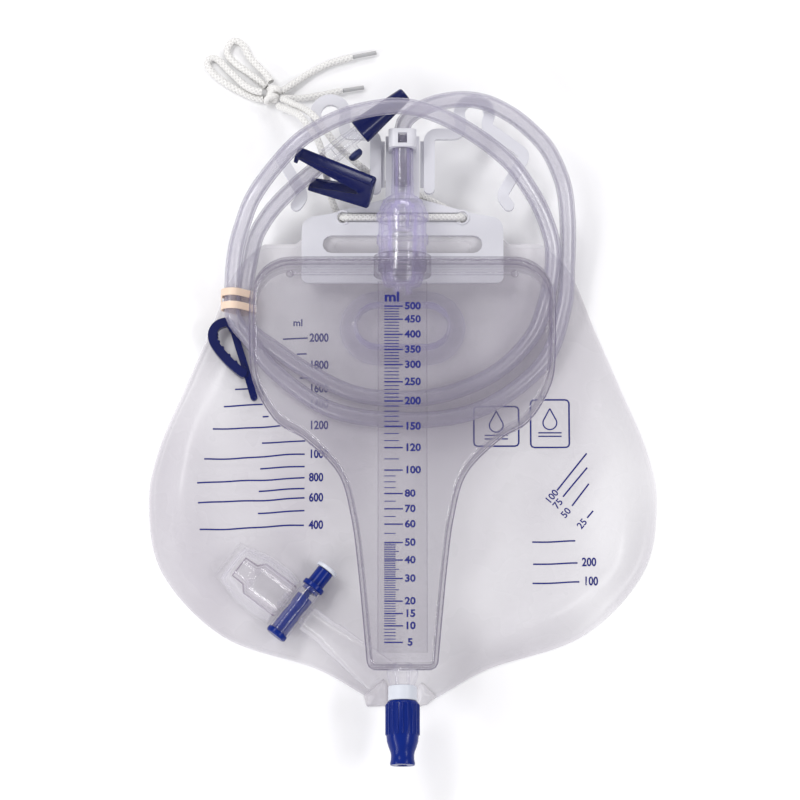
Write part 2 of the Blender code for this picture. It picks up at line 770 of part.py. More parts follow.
def build_overflow_duct():
    """The oval duct that lets the full chamber spill into the bag, with its welding flange."""
    low = BAG_DEPTH + GAP
    high = AXIS_Z - METER_HALF_DEPTH - GAP
    duct = slab("overflow_duct", [duct_loop(0), duct_loop(DUCT_WALL)], low, high)
    rim = slab("duct_flange", [duct_loop(-DUCT_FLANGE), duct_loop(DUCT_WALL)], low,
               low + DUCT_FLANGE_THICKNESS)
    join(duct, rim)
    return finish(duct, (0.88, 0.88, 0.94), 0.1, 0.4)


# Drip chamber

def axis_point(y):
    return Vector((0, y, AXIS_Z))


def build_drip_cap():
    """The domed cap with the tube socket above it and the drip spigot inside."""
    bore = TUBE_RADIUS + GAP
    flange = CAP_FLANGE_RADIUS
    low = DRIP_TOP + GAP
    outer = [(SOCKET_RADIUS, SOCKET_TOP), (SOCKET_RADIUS, CAP_DOME_TOP), (9 * MM, CAP_DOME_TOP - 1 * MM),
             (13 * MM, CAP_DOME_TOP - 4.5 * MM), (flange - 1.2 * MM, CAP_FLANGE_TOP + 0.4 * MM),
             (flange, CAP_FLANGE_TOP - 0.4 * MM), (flange, low)]
    inner = [(DRIP_RADIUS - DRIP_WALL, low), (11 * MM, CAP_DOME_TOP - 5.5 * MM),
             (7.2 * MM, CAP_DOME_TOP - 4 * MM), (5.6 * MM, SPIGOT_BOTTOM),
             (4 * MM, SPIGOT_BOTTOM), (4.4 * MM, CAP_DOME_TOP), (bore, CAP_DOME_TOP + 2 * MM),
             (bore, SOCKET_TOP)]
    cap = turned("drip_cap", outer + inner, axis_point(0), (0, 1, 0), closed=True, steps=28)
    return finish(cap, (0.7, 0.66, 0.88), 0.08, 0.35)


def build_drip_chamber():
    """The drip chamber's clear tube with its middle ring."""
    inner = DRIP_RADIUS - DRIP_WALL
    ring = DRIP_RADIUS + 1.2 * MM
    outer = [(DRIP_RADIUS, DRIP_TOP), (DRIP_RADIUS, DRIP_RING_Y + 2.5 * MM), (ring, DRIP_RING_Y + 1.9 * MM),
             (ring, DRIP_RING_Y - 1.9 * MM), (DRIP_RADIUS, DRIP_RING_Y - 2.5 * MM),
             (DRIP_RADIUS, DRIP_SEAT + 2.6 * MM)]
    inside = [(inner, DRIP_SEAT + 2.6 * MM), (inner, DRIP_TOP)]
    chamber = turned("drip_chamber", outer + inside, axis_point(0), (0, 1, 0), closed=True, steps=28)
    return finish(chamber, (0.72, 0.68, 0.9), 0.06, 0.3)


def build_drip_bowl():
    """The cup under the drip chamber, hanging in the mouth of the measuring chamber."""
    wall = 1.4 * MM
    radius, low = BOWL_RADIUS, BOWL_BOTTOM
    top = DRIP_SEAT + 2.6 * MM - GAP
    outer = [(DRIP_RADIUS, top), (DRIP_RADIUS, DRIP_SEAT), (radius, DRIP_SEAT), (radius, low + 9 * MM),
             (radius - 1.6 * MM, low + 5 * MM), (5.6 * MM, low + 3.5 * MM), (5.6 * MM, low)]
    inner = [(5.6 * MM - wall, low), (5.6 * MM - wall, low + 3.5 * MM + wall),
             (radius - 1.6 * MM - wall, low + 5 * MM + wall), (radius - wall, low + 9.3 * MM),
             (radius - wall, top)]
    bowl = turned("drip_bowl", outer + inner, axis_point(0), (0, 1, 0), closed=True)
    return finish(bowl, (0.78, 0.75, 0.92), 0.06, 0.35)


def build_reflux_flap():
    """The thin valve disc under the drip spigot."""
    high = SPIGOT_BOTTOM - GAP
    flap = rod("reflux_flap", 6.4 * MM, axis_point(high - 0.8 * MM), axis_point(high), 28)
    return finish(flap, (0.8, 0.8, 0.85), 0.4, 0.6)


# Chamber outlet

def build_outlet_nozzle():
    """The clear neck under the measuring chamber, with a groove for the seal."""
    shoulder = METER_BOTTOM - GAP - SEAM_LIP
    outer = [(NOZZLE_RADIUS, METER_BOTTOM + 3 * MM), (NOZZLE_RADIUS, shoulder),
             (NOZZLE_SHOULDER, shoulder), (NOZZLE_SHOULDER, shoulder - 2 * MM),
             (7 * MM, COLLAR_TOP + GAP), (NOZZLE_RADIUS, COLLAR_TOP + GAP),
             (NOZZLE_RADIUS, COLLAR_BOTTOM - 4 * MM), (NOZZLE_RADIUS - 0.6 * MM, COLLAR_BOTTOM - 4 * MM),
             (NOZZLE_RADIUS - 0.6 * MM, COLLAR_BOTTOM - 6 * MM), (NOZZLE_RADIUS, COLLAR_BOTTOM - 6 * MM),
             (NOZZLE_RADIUS, COLLAR_BOTTOM - 9 * MM)]
    inner = [(NOZZLE_BORE, COLLAR_BOTTOM - 9 * MM), (NOZZLE_BORE, METER_BOTTOM + 3 * MM)]
    nozzle = turned("outlet_nozzle", outer + inner, axis_point(0), (0, 1, 0), closed=True)
    return finish(nozzle, (0.85, 0.84, 0.92), 0.06, 0.3)


def build_outlet_collar():
    """The white ring between the neck and the twist cap."""
    bore = NOZZLE_RADIUS + GAP
    outer = COLLAR_RADIUS
    ring = [(outer - 0.4 * MM, COLLAR_TOP), (outer, COLLAR_TOP - 0.5 * MM), (outer, COLLAR_BOTTOM),
            (bore, COLLAR_BOTTOM), (bore, COLLAR_TOP)]
    collar = turned("outlet_collar", ring, axis_point(0), (0, 1, 0), closed=True)
    return finish(collar, (0.86, 0.89, 0.94), 0.35)


def build_outlet_seal():
    """The rubber ring in the neck's groove."""
    middle = COLLAR_BOTTOM - 5 * MM
    inner, outer = NOZZLE_RADIUS - 0.3 * MM, NOZZLE_RADIUS + 0.5 * MM
    half = 0.7 * MM
    ring = [(outer, middle + half), (outer, middle - half), (inner, middle - half), (inner, middle + half)]
    seal = turned("outlet_seal", ring, axis_point(0), (0, 1, 0), closed=True)
    return finish(seal, (0.05, 0.05, 0.06), 0.6)


def build_outlet_twist_cap():
    """The blue twist valve, ribbed above and waisted below."""
    top = COLLAR_BOTTOM - GAP
    bore = NOZZLE_RADIUS + 0.8 * MM
    spout = 3 * MM
    low = TWIST_BOTTOM
    root = TWIST_RADIUS - 0.7 * MM
    outer = [(root - 0.8 * MM, top), (root, top - 1 * MM), (root, TWIST_RIB_BOTTOM),
             (root - 0.5 * MM, TWIST_RIB_BOTTOM - 4 * MM), (7.2 * MM, TWIST_RIB_BOTTOM - 8 * MM),
             (6.9 * MM, low + 7 * MM), (7.2 * MM, low + 3 * MM), (7.4 * MM, low)]
    inner = [(spout, low), (spout, COLLAR_BOTTOM - 10 * MM), (bore, COLLAR_BOTTOM - 10 * MM), (bore, top)]
    cap = turned("outlet_twist_cap", outer + inner, axis_point(0), (0, 1, 0), closed=True, steps=28)
    ribs = []
    for i in range(TWIST_RIBS):
        for share, radius in ((0.0, TWIST_RADIUS), (0.45, TWIST_RADIUS), (0.55, root - 0.5 * MM),
                              (0.9, root - 0.5 * MM)):
            angle = -math.tau * (i + share) / TWIST_RIBS
            ribs.append(Vector((radius * math.cos(angle), radius * math.sin(angle))))
    hole = arc(0, 0, root - 1.2 * MM, 0, -350, 35)
    grip = slab("twist_ribs", [ribs, hole], TWIST_RIB_BOTTOM + 0.3 * MM, top - 1.2 * MM)
    grip.matrix_world = (Matrix.Translation(axis_point(0)) @ Matrix.Rotation(-math.pi / 2, 4, "X")
                         @ grip.matrix_world)
    join(cap, grip)
    return finish(cap, (0.0, 0.06, 0.4), 0.3)


# Hanger

def column_back():
    return AXIS_Z - SOCKET_RADIUS - 2 * GAP - ARM_THICKNESS


def build_hanger():
    """The moulded hanger: plate, stepped column with ribs, and the clip round the socket."""
    back, front = PLATE_FRONT - PLATE_THICKNESS, PLATE_FRONT
    width = PLATE_HALF_WIDTH
    half = fillet_path([(0, PLATE_PEAK, 0), (COLUMN_HALF_WIDTH + 1 * MM, PLATE_PEAK, 2 * MM),
                        (43.5 * MM, PLATE_SHOULDER, 10 * MM), (width, PLATE_SHOULDER - 3 * MM, 8 * MM),
                        (width, PLATE_BOTTOM, 4 * MM), (0, PLATE_BOTTOM, 0)])
    window = obround(WINDOW_HALF_WIDTH, WINDOW_HEIGHT / 2, 0, WINDOW_CENTRE, 6)
    plate = slab("hanger_plate", [mirrored(half), window], back, front)

    groove_half = ROPE_RADIUS + 3 * GAP
    groove = slab("rope_groove", [obround(ROPE_HOLE_X + groove_half, groove_half, 0, ROPE_HOLE_Y, 6)],
                  front - ROPE_GROOVE_DEPTH, front + 5 * MM)
    holes = [rod("rope_hole", groove_half + 0.9 * MM, (x, ROPE_HOLE_Y, back - 5 * MM),
                 (x, ROPE_HOLE_Y, front + 5 * MM), 24) for x in (-ROPE_HOLE_X, ROPE_HOLE_X)]

    arm_back = column_back()
    arm_front = arm_back + ARM_THICKNESS
    wide = COLUMN_HALF_WIDTH
    step = [Vector(p) for p in ((COLUMN_FOOT, arm_front), (COLUMN_TOP, arm_front), (COLUMN_TOP, arm_back),
                                (COLUMN_FOOT + 4.4 * MM, arm_back), (COLUMN_FOOT + 4.4 * MM, back + 0.5 * MM),
                                (COLUMN_FOOT, back + 0.5 * MM))]
    column = slab("column", [step], -wide, wide)
    column.matrix_world = Matrix(((0, 0, 1, 0), (1, 0, 0, 0), (0, 1, 0, 0), (0, 0, 0, 1)))
    rib = 1 * MM
    ribs = [box("column_rib", (x - rib / 2, COLUMN_FOOT + 3 * MM, arm_back - 3 * MM),
                (x + rib / 2, COLUMN_TOP - 2 * MM, arm_back + 1 * MM)) for x in (-8 * MM, 0.0, 8 * MM)]

    clip_top = AXIS_Z + SOCKET_RADIUS + GAP + CLIP_WALL
    clip_side = CLIP_HALF_WIDTH
    low = arm_front - 1 * MM - AXIS_Z
    profile = fillet_path([(0, clip_top - AXIS_Z, 0), (clip_side, clip_top - AXIS_Z, 4 * MM),
                           (clip_side, low, 0), (0, low, 0)])
    clip = slab("socket_clip", [mirrored(profile)], 0, COLUMN_TOP + 0.8 * MM - CLIP_BOTTOM)
    turn = Matrix.Rotation(math.pi / 2, 4, "X")
    clip.matrix_world = Matrix.Translation(axis_point(COLUMN_TOP + 0.8 * MM)) @ turn @ clip.matrix_world
    bore = rod("clip_bore", SOCKET_RADIUS + GAP, axis_point(COLUMN_FOOT), axis_point(COLUMN_TOP + 9 * MM))
    middle = (CLIP_BOTTOM + COLUMN_TOP) / 2
    window_half = CLIP_WINDOW / 2
    eye = box("clip_window", (-window_half, middle - 3 * MM, AXIS_Z),
              (window_half, middle + 3.4 * MM, clip_top + 5 * MM))

    join(plate, column, *ribs, clip)
    cut(plate, bore, eye, groove, *holes)
    return finish(plate, (0.75, 0.75, 0.78), 0.4)


def hook_path():
    """Centre line of the right hook: arm, beam, ring and the return to its round tip."""
    ring_low = 205
    enter = arc(RING_X, RING_Y, RING_RADIUS, ring_low, ring_low, 1)[0]
    leave = arc(RING_X, RING_Y, RING_RADIUS, -25, -25, 1)[0]
    arm = fillet_path([(HOOK_ARM_X, HOOK_ARM_BOTTOM, 0), (HOOK_ARM_X, HOOK_BEAM_Y, 4.6 * MM),
                       (enter.x, HOOK_BEAM_Y, 4.2 * MM), (enter.x, enter.y, 0)], 4)[:-1]
    ring = arc(RING_X, RING_Y, RING_RADIUS, ring_low, -25, 14)
    drop = fillet_path([(leave.x, leave.y, 0), (leave.x - 1.2 * MM, leave.y - 3.6 * MM, 4.2 * MM),
                        (RING_X + 31 * MM, RING_Y - 25.4 * MM, 4 * MM),
                        (RING_X + 16.2 * MM, RING_Y - 51 * MM, 5.5 * MM),
                        (RING_X + 20.6 * MM, RING_Y - 57 * MM, 0)], 4)[1:]
    return arm + ring + drop


def build_hook(name, side):
    """A hook arm on its film hinge beside the column, side is 1 for the right one."""
    back = column_back()
    strip = [Vector((side * p.x, p.y)) for p in ribbon(hook_path(), ARM_WIDTH)]
    if side < 0:
        strip.reverse()
    hook = slab(name, [strip], back, back + ARM_THICKNESS)
    inner, outer = HINGE_X + 0.2 * MM, HOOK_ARM_X - ARM_WIDTH / 2 + 1 * MM
    low_x, high_x = sorted((side * inner, side * outer))
    web_back = back + GAP
    web = box(name + "_web", (low_x, HOOK_ARM_BOTTOM + 1 * MM, web_back),
              (high_x, HOOK_BEAM_Y - 4 * MM, web_back + WEB_THICKNESS))
    join(hook, web)
    bpy.context.view_layer.update()
    set_origin(hook, (side * HINGE_X, HOOK_ARM_BOTTOM, back))
    return finish(hook, (0.75, 0.75, 0.78), 0.4)


# Inlet line

def inlet_route():
    """The inlet tube: out of the socket, round the right, twice behind the chamber, to the connector."""
    return mm(
        (0, 181, 38), (1.2, 185.5, 37.6), (5, 190, 36.8), (11, 194, 36.4), (18, 197, 36.6),
        (26, 198.8, 37.4), (38, 199.7, 38), (51.8, 197.1, 38), (65.6, 190.2, 37),
        (75.9, 182.2, 36), (86.3, 171.5, 34), (93.2, 159.4, 31), (98, 145.6, 27), (99.8, 128.8, 22.5),
        (100, 116, 19), (99.6, 103.2, 16), (97.5, 76, 12.8), (84, 41, 12.4), (46.5, 13.5, 12.4),
        (1.5, 6.7, 12.4), (-43.5, 13.5, 12.4), (-76.5, 36.5, 12.6), (-91, 54.5, 15.4),
        (-101.2, 67, 21), (-102.6, 77, 21.9), (-102.4, 87, 22.6), (-101.6, 99.3, 26.4), (-99.5, 112, 30.5),
        (-95.7, 123.8, 36), (-90.3, 136, 43.5), (-79.5, 149.4, 54), (-63.6, 165.5, 62), (-48.9, 175.2, 64),
        (-30.3, 183.6, 64), (-6.1, 188.4, 63), (10.5, 186.9, 61.5), (24.3, 182.6, 59.5), (38, 175.9, 56.5),
        (51.8, 167.6, 52), (65.6, 156.9, 46), (75.9, 144.3, 39), (82.8, 133.7, 33), (88.3, 120.8, 27.5),
        (90.9, 109.5, 23), (90.3, 96, 18), (86.4, 79, 13.2), (78, 58, 12.4), (57, 36.8, 12.4),
        (28, 23.5, 12.4), (0, 19.8, 12.4), (-30, 23.5, 12.4), (-58, 37.4, 12.4), (-79, 52, 12.6),
        (-92, 62, 13.4), (-95.3, 71.5, 13.8), (-95.3, 80, 13.8), (-94.9, 89, 14), (-92.5, 103, 17.5),
        (-88.5, 118, 24), (-79.5, 131, 32), (-67.3, 143, 37.5), (-55, 153.3, 40), (-45.3, 161.7, 42))


def build_inlet_tube():
    points = [Vector((0, 146, 38)) * MM] + evenly(smooth(inlet_route(), 8), 15 * MM)
    points.append(LINE_START + line_axis() * 3 * MM)
    return finish(tube("inlet_tube", points, TUBE_RADIUS, 2), (0.72, 0.7, 0.8), 0.2, 0.6)


def line_axis():
    """The connector's axis, which rises a little towards the front."""
    flat = math.cos(LINE_RISE)
    return Vector((math.cos(LINE_ANGLE) * flat, math.sin(LINE_ANGLE) * flat, math.sin(LINE_RISE)))


def build_sampling_port():
    """The clear sleeve glued over the tube's end, with the side port for the syringe."""
    along = line_axis()
    bore = TUBE_RADIUS + GAP
    radius = SLEEVE_RADIUS
    end = SLEEVE_LENGTH
    outer = [(4.8 * MM, CONE_START), (4.8 * MM, end + 3 * MM), (radius - 0.6 * MM, end),
             (radius, 0)]
    inner = [(bore, 0), (bore, 5 * MM), (3.4 * MM, 5.6 * MM), (3.4 * MM, CONE_START)]
    port = turned("sampling_port", outer + inner, LINE_START, along, closed=True, steps=24)
    foot = LINE_START + along * 14.5 * MM
    side = port_direction()
    branch = rod("port_branch", 4.3 * MM, foot + side * 1 * MM, foot + side * 8 * MM, 20)
    channel = rod("port_channel", 3 * MM, LINE_START - along * 1 * MM, LINE_START + along * 40 * MM, 16)
    join(port, branch)
    cut(port, channel)
    return finish(port, (0.8, 0.79, 0.88), 0.08, 0.35)


def port_direction():
    """The side port points to the lower right of the line."""
    return Vector((math.sin(LINE_ANGLE), -math.cos(LINE_ANGLE), 0))


def build_port_septum():
    """The blue rubber plug in the side port."""
    foot = LINE_START + line_axis() * 14.5 * MM
    side = port_direction()
    low = 8 * MM + GAP
    profile = [(0, low + 3.4 * MM), (3.4 * MM, low + 3.2 * MM), (4.6 * MM, low + 2 * MM), (4.6 * MM, low),
               (0, low)]
    return finish(turned("port_septum", profile, foot, side, steps=24), (0.02, 0.05, 0.2), 0.5)


def build_catheter_connector():
    """The stepped, tapered connector that the catheter is pushed on to."""
    along = line_axis()
    low = CONE_START + GAP
    high = low + CONE_LENGTH
    outer = [(3 * MM, high), (3.4 * MM, high - 0.6 * MM), (4.2 * MM, high - 9 * MM),
             (3.8 * MM, high - 9.4 * MM), (4.8 * MM, low + 2 * MM), (4.8 * MM, low)]
    inner = [(2.2 * MM, low), (2.2 * MM, high)]
    cone = turned("catheter_connector", outer + inner, LINE_START, along, closed=True, steps=24)
    return finish(cone, (0.82, 0.81, 0.9), 0.1, 0.4)


def build_connector_cap():
    """The navy cap that pulls off the connector."""
    along = line_axis()
    low, high = CAP_START, CAP_START + CAP_LENGTH
    hollow = CONE_START + CONE_LENGTH + 2 * MM
    outer = [(0, high), (CAP_TIP_RADIUS - 0.8 * MM, high), (CAP_TIP_RADIUS, high - 0.8 * MM),
             (CAP_RADIUS, low)]
    inner = [(5.2 * MM, low), (4.6 * MM, low + 16 * MM), (3.7 * MM, hollow), (0, hollow)]
    cap = turned("connector_cap", outer + inner, LINE_START, along, steps=28)
    return finish(cap, (0.01, 0.03, 0.15), 0.35)


def clamp_axes():
    """The clamp's length, its opening direction and its depth."""
    length = Vector((0.94, -0.342, 0)).normalized()
    planar = Vector((0.342, 0.94, 0)).normalized()
    tilt = math.radians(65)
    opening = planar * math.cos(tilt) + Vector((0, 0, math.sin(tilt)))
    return length, opening, length.cross(opening)


def build_pinch_clamp():
    """The long V clamp: two jaws joined at the right, with a latch lip at the left."""
    top = CLAMP_HEIGHT / 2
    end = CLAMP_LENGTH
    root = end - 8 * MM
    outline = [(1.5, -13), (3, -13.4), (39, -11), (40, -9), (40, 9), (39, 11), (-8, 14), (-10.4, 13.6),
               (-10.4, 7.8), (-8, 7.4), (-7.4, 11.4), (31, 0.9), (31.9, 0), (31, -0.9), (1.5, -9.8)]
    scale_x, scale_y = end / (39 * MM), top / (12 * MM)
    loop = [Vector((x * MM * scale_x, y * MM * scale_y)) for x, y in outline][::-1]
    clamp = slab("pinch_clamp", [loop], -CLAMP_DEPTH / 2, CLAMP_DEPTH / 2)
    length, opening, depth = clamp_axes()
    turn = Matrix((length, opening, depth)).transposed().to_4x4()
    clamp.matrix_world = Matrix.Translation(CLAMP_CENTRE) @ turn
    return finish(clamp, (0.01, 0.03, 0.16), 0.35)


def build_sheet_clip():
    """The navy clip for the bed sheet: a thin straight arm and a curved jaw with ribs."""
    low = SHEET_CLIP_BOTTOM
    jaw = smooth(mm((-96.4, 36), (-104.5, 43), (-112.4, 52.5), (-114.9, 59.5), (-112, 65.5), (-105.5, 67.5),
                    (-102, 63)), 4)
    arm = smooth(mm((-102, 63), (-99.4, 54), (-94.6, 39), (-89.5, 21.5)), 3)
    clip = slab("sheet_clip", [ribbon(jaw, SHEET_CLIP_WIDTH)], low, low + SHEET_CLIP_JAW)
    straight = slab("sheet_clip_arm", [ribbon(arm, SHEET_CLIP_WIDTH * 0.8)], low, low + SHEET_CLIP_ARM)
    join(clip, straight)
    for i in range(6):
        here = jaw[3 + 2 * i]
        along = (jaw[4 + 2 * i] - here).normalized()
        side = Vector((-along.y, along.x)) * -1
        centre = here + side * SHEET_CLIP_WIDTH / 2
        rib = slab("clip_rib", [arc(centre.x, centre.y, 1 * MM, 0, -300, 5)], low + 0.5 * MM,
                   low + SHEET_CLIP_JAW - 0.5 * MM)
        join(clip, rib)
    return finish(clip, (0.01, 0.04, 0.18), 0.35)


def build_tube_band():
    """The rubber band wound twice round the two turns of the tube."""
    high, low = Vector((-102.6, 22)) * MM, Vector((-95.3, 13.8)) * MM
    inner = TUBE_RADIUS + 3 * GAP
    outer = inner + 0.9 * MM
    angle = math.degrees(math.atan2(high.y - low.y, high.x - low.x))
    loops = []
    for radius in (outer, inner):
        loops.append(arc(low.x, low.y, radius, angle - 90, angle - 270, 8)
                     + arc(high.x, high.y, radius, angle + 90, angle - 90, 8))
    band = None
    for start in (85 * MM, 76.8 * MM):
        ring = slab("tube_band", loops, 0, 4.4 * MM)
        ring.matrix_world = (Matrix.Translation((0, start, 0)) @ Matrix.Rotation(math.pi / 2, 4, "X")
                             @ ring.matrix_world)
        if band is None:
            band = ring
        else:
            join(band, ring)
    side = high.x - outer
    join(band, box("band_wrap", (side + 0.1 * MM, 75.5 * MM, high.y - 2 * MM),
                   (side + 0.8 * MM, 82 * MM, high.y + 2 * MM)))
    return finish(band, (0.85, 0.62, 0.48), 0.6)


# Rope

def sling_route():
    """The rope from the knot, through the plate's left hole, along its groove and back to the knot."""
    hole_x, hole_y = ROPE_HOLE_X / MM, ROPE_HOLE_Y / MM
    rest = (PLATE_FRONT - ROPE_GROOVE_DEPTH + ROPE_RADIUS + GAP) / MM
    return mm(
        (-75.8, 204.2, 7), (-69, 198, 19), (-62.8, 191.8, 31), (-58.6, 185.5, 35.8), (-53, 178, 35.4),
        (-49.3, 170.5, 33), (-47, 160, 28), (-45, 150.5, 21), (-42.5, 142, 13), (-39, 134.5, 10.6),
        (-hole_x - 0.9, hole_y, 13.6), (-hole_x - 0.9, hole_y, 17.6), (1.6 - hole_x, hole_y, rest + 0.4),
        (-30, hole_y, rest), (0, hole_y, rest), (30, hole_y, rest), (hole_x - 1.6, hole_y, rest + 0.4),
        (hole_x + 0.9, hole_y, 17.6), (hole_x + 0.9, hole_y, 13.6), (34.5, 134, 10.8), (25, 139, 11.4),
        (13, 145, 12), (0, 149, 13), (-11, 153.5, 14), (-22, 160, 19.3), (-33, 167.3, 27.3),
        (-42, 175, 34.2), (-48, 182.3, 37.8), (-53.6, 189.5, 37), (-59.2, 195.6, 30),
        (-66, 202, 18), (-73.3, 208.8, 7.4))


def build_rope():
    """The sling, its knot, the two bow loops and the two tails with their clear tips."""
    colour = (0.86, 0.85, 0.8)
    pieces = {
        "rope_sling": sling_route(),
        "rope_bow_upper": mm((-83.6, 217.3, 2.8), (-87.6, 221, 2.5), (-95, 227, 2.4), (-103.5, 233.4, 2.4),
                             (-107.8, 240, 2.4), (-104, 247, 2.4), (-98, 244.5, 2.4), (-94, 237, 2.4),
                             (-88.5, 230.5, 2.6), (-83.5, 225, 4.2), (-80.6, 219.9, 5.7)),
        "rope_bow_lower": mm((-85.2, 209.7, 3.1), (-90, 210.4, 2.6), (-97, 213.5, 2.4), (-107, 219, 2.4),
                             (-116, 226, 2.4), (-120, 233, 2.4), (-115, 236, 2.4), (-105, 226.4, 2.6),
                             (-97.5, 218.6, 4.6), (-91.4, 214.4, 6.3), (-86, 213.2, 6.4)),
        "rope_tail_upper": mm((-74.2, 214, 5), (-65, 220.6, 3.4), (-57.5, 226, 2.5),
                              (-44.5, 232.7, 2.4), (-30.6, 236.6, 2.4)),
        "rope_tail_lower": mm((-73.8, 210.5, 3.5), (-65, 210.3, 2.5), (-59.7, 210.7, 2.4),
                              (-48.8, 212.6, 2.4), (-36.8, 215.2, 2.4))}
    for name, route in pieces.items():
        points = evenly(smooth(route, 8), 6 * MM)
        finish(tube(name, points, ROPE_RADIUS, 2), colour, 0.8)
    tips = {"rope_tip_upper": mm((-30.3, 236.68, 2.4), (-16, 239.5, 2.4)),
            "rope_tip_lower": mm((-36.5, 215.26, 2.4), (-23.6, 217.3, 2.4))}
    for name, (start, end) in tips.items():
        finish(rod(name, ROPE_TIP_RADIUS, start, end, 12), (0.7, 0.7, 0.72), 0.2, 0.6)


def build_rope_knot():
    """The overhand knot as one lump, turned along the rope."""
    mesh = bpy.data.meshes.new("rope_knot")
    work = bmesh.new()
    bmesh.ops.create_uvsphere(work, u_segments=16, v_segments=10, radius=1)
    work.to_mesh(mesh)
    work.free()
    knot = new_object("rope_knot", mesh)
    knot.scale = Vector((5.2, 7.4, 5)) * MM
    knot.location = Vector((-79.3, 211.6, 5.4)) * MM
    knot.rotation_euler.z = math.radians(20)
    return finish(knot, (0.86, 0.85, 0.8), 0.8)


def main():
    clear_scene()
    build_bag()
    build_bag_pocket()
    build_outlet_sleeve()
    build_tap_body()
    build_tap_collar()
    build_tap_piston()
    build_tap_end_cap()
    build_tap_spout()
    build_meter_front()
    build_meter_back()
    build_overflow_duct()
    build_drip_cap()
    build_drip_chamber()
    build_drip_bowl()
    build_reflux_flap()
    build_outlet_nozzle()
    build_outlet_collar()
    build_outlet_seal()
    build_outlet_twist_cap()
    build_hanger()
    build_hook("hook_right", 1)
    build_hook("hook_left", -1)
    build_inlet_tube()
    build_sampling_port()
    build_port_septum()
    build_catheter_connector()
    build_connector_cap()
    build_pinch_clamp()
    build_sheet_clip()
    build_tube_band()
    build_rope()
    build_rope_knot()


main()
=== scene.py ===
"""Looks for the urine drainage bag: films, clear mouldings, prints, tube, rope, light and camera.

Everything is in metres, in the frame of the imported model: the bag lies on Z = 0, +Y runs up to
the hooks and +Z is the front.
"""

import math

import bmesh
import bpy
from mathutils import Matrix, Vector, noise
from mathutils.bvhtree import BVHTree


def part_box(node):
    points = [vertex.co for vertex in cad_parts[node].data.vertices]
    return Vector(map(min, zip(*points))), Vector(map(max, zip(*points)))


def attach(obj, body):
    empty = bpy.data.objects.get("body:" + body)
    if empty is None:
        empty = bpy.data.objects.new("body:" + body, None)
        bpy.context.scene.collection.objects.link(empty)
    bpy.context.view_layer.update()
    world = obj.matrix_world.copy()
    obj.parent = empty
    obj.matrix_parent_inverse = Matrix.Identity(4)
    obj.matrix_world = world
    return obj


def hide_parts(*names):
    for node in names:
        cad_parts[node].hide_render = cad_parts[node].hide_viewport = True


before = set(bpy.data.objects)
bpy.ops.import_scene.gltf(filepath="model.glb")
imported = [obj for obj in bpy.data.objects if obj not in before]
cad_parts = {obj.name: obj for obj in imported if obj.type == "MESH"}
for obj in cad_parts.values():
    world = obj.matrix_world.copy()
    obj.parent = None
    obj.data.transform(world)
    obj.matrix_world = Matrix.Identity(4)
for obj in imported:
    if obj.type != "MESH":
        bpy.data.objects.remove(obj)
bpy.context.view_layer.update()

MM = 0.001
SET = "set"

# Sizes repeated from the part
AXIS_Z = sum(corner.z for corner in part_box("drip_chamber")) / 2
BAG_HALF_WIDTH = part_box("bag")[1].x
BAG_TOP = 115 * MM
BAG_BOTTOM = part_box("bag")[0].y
BAG_DEPTH = 7 * MM
FILM = 0.8 * MM
ONE_FILM = 0.3 * MM
HEADER_HALF_WIDTH = 84.5 * MM
TAB_HALF_WIDTH = 58 * MM
TAB_RISE = 6 * MM
NECK_HALF_WIDTH = 10 * MM
HEADER_LIFT = 15.9 * MM
METER_HALF_WIDTH = 90.6 * MM
METER_TOP = 98.7 * MM
METER_BOTTOM = -147.6 * MM
METER_CORNER = 24.6 * MM
METER_FOOT_HALF_WIDTH = 20 * MM
METER_HALF_DEPTH = 17.7 * MM
METER_WALL = 1.5 * MM
SEAM_LIP = 1.2 * MM
STRIP_HALF_WIDTH = 14.7 * MM
STRIP_RISE = 0.7 * MM
TUBE_RADIUS = 5 * MM
TUBE_WALL = 1.4 * MM
ROPE_RADIUS = 2.1 * MM
TAP_CENTRE = Vector((-63.7, -108.8, 15.2)) * MM
TAP_ANGLE = math.radians(52.5)


# Shapes

def mm(*points):
    """Vectors in metres from points in millimetres."""
    return [Vector(point) * MM for point in points]


def smooth(points, steps, closed=False):
    """A Catmull-Rom curve through the points."""
    points = [Vector(p) for p in points]
    count = len(points)
    curve = []
    for i in range(count if closed else count - 1):
        if closed:
            a, b, c, d = (points[(i + k - 1) % count] for k in range(4))
        else:
            a, b, c, d = (points[min(max(i + k - 1, 0), count - 1)] for k in range(4))
        for j in range(steps):
            t = j / steps
            curve.append(0.5 * (2 * b + (c - a) * t + (2 * a - 5 * b + 4 * c - d) * t * t
                                + (3 * b - a - 3 * c + d) * t * t * t))
    if not closed:
        curve.append(points[-1])
    return curve


def evenly(points, spacing, closed=False):
    """Points at an even spacing along a polyline."""
    if closed:
        points = points + points[:1]
    lengths = [0.0]
    for a, b in zip(points, points[1:]):
        lengths.append(lengths[-1] + (b - a).length)
    count = max(2, round(lengths[-1] / spacing))
    result = []
    index = 0
    for i in range(count + 1):
        target = lengths[-1] * i / count
        while index < len(points) - 2 and lengths[index + 1] < target:
            index += 1
        span = lengths[index + 1] - lengths[index]
        result.append(points[index].lerp(points[index + 1], (target - lengths[index]) / span))
    return result[:-1] if closed else result


def arc(cx, cy, radius, start, end, steps):
    angles = [math.radians(start + (end - start) * i / steps) for i in range(steps + 1)]
    return [Vector((cx + radius * math.cos(a), cy + radius * math.sin(a))) for a in angles]


def mirrored(half):
    right = [p for p in half if p.x > 0.3 * MM]
    return right + [Vector((-p.x, p.y)) for p in reversed(right)]


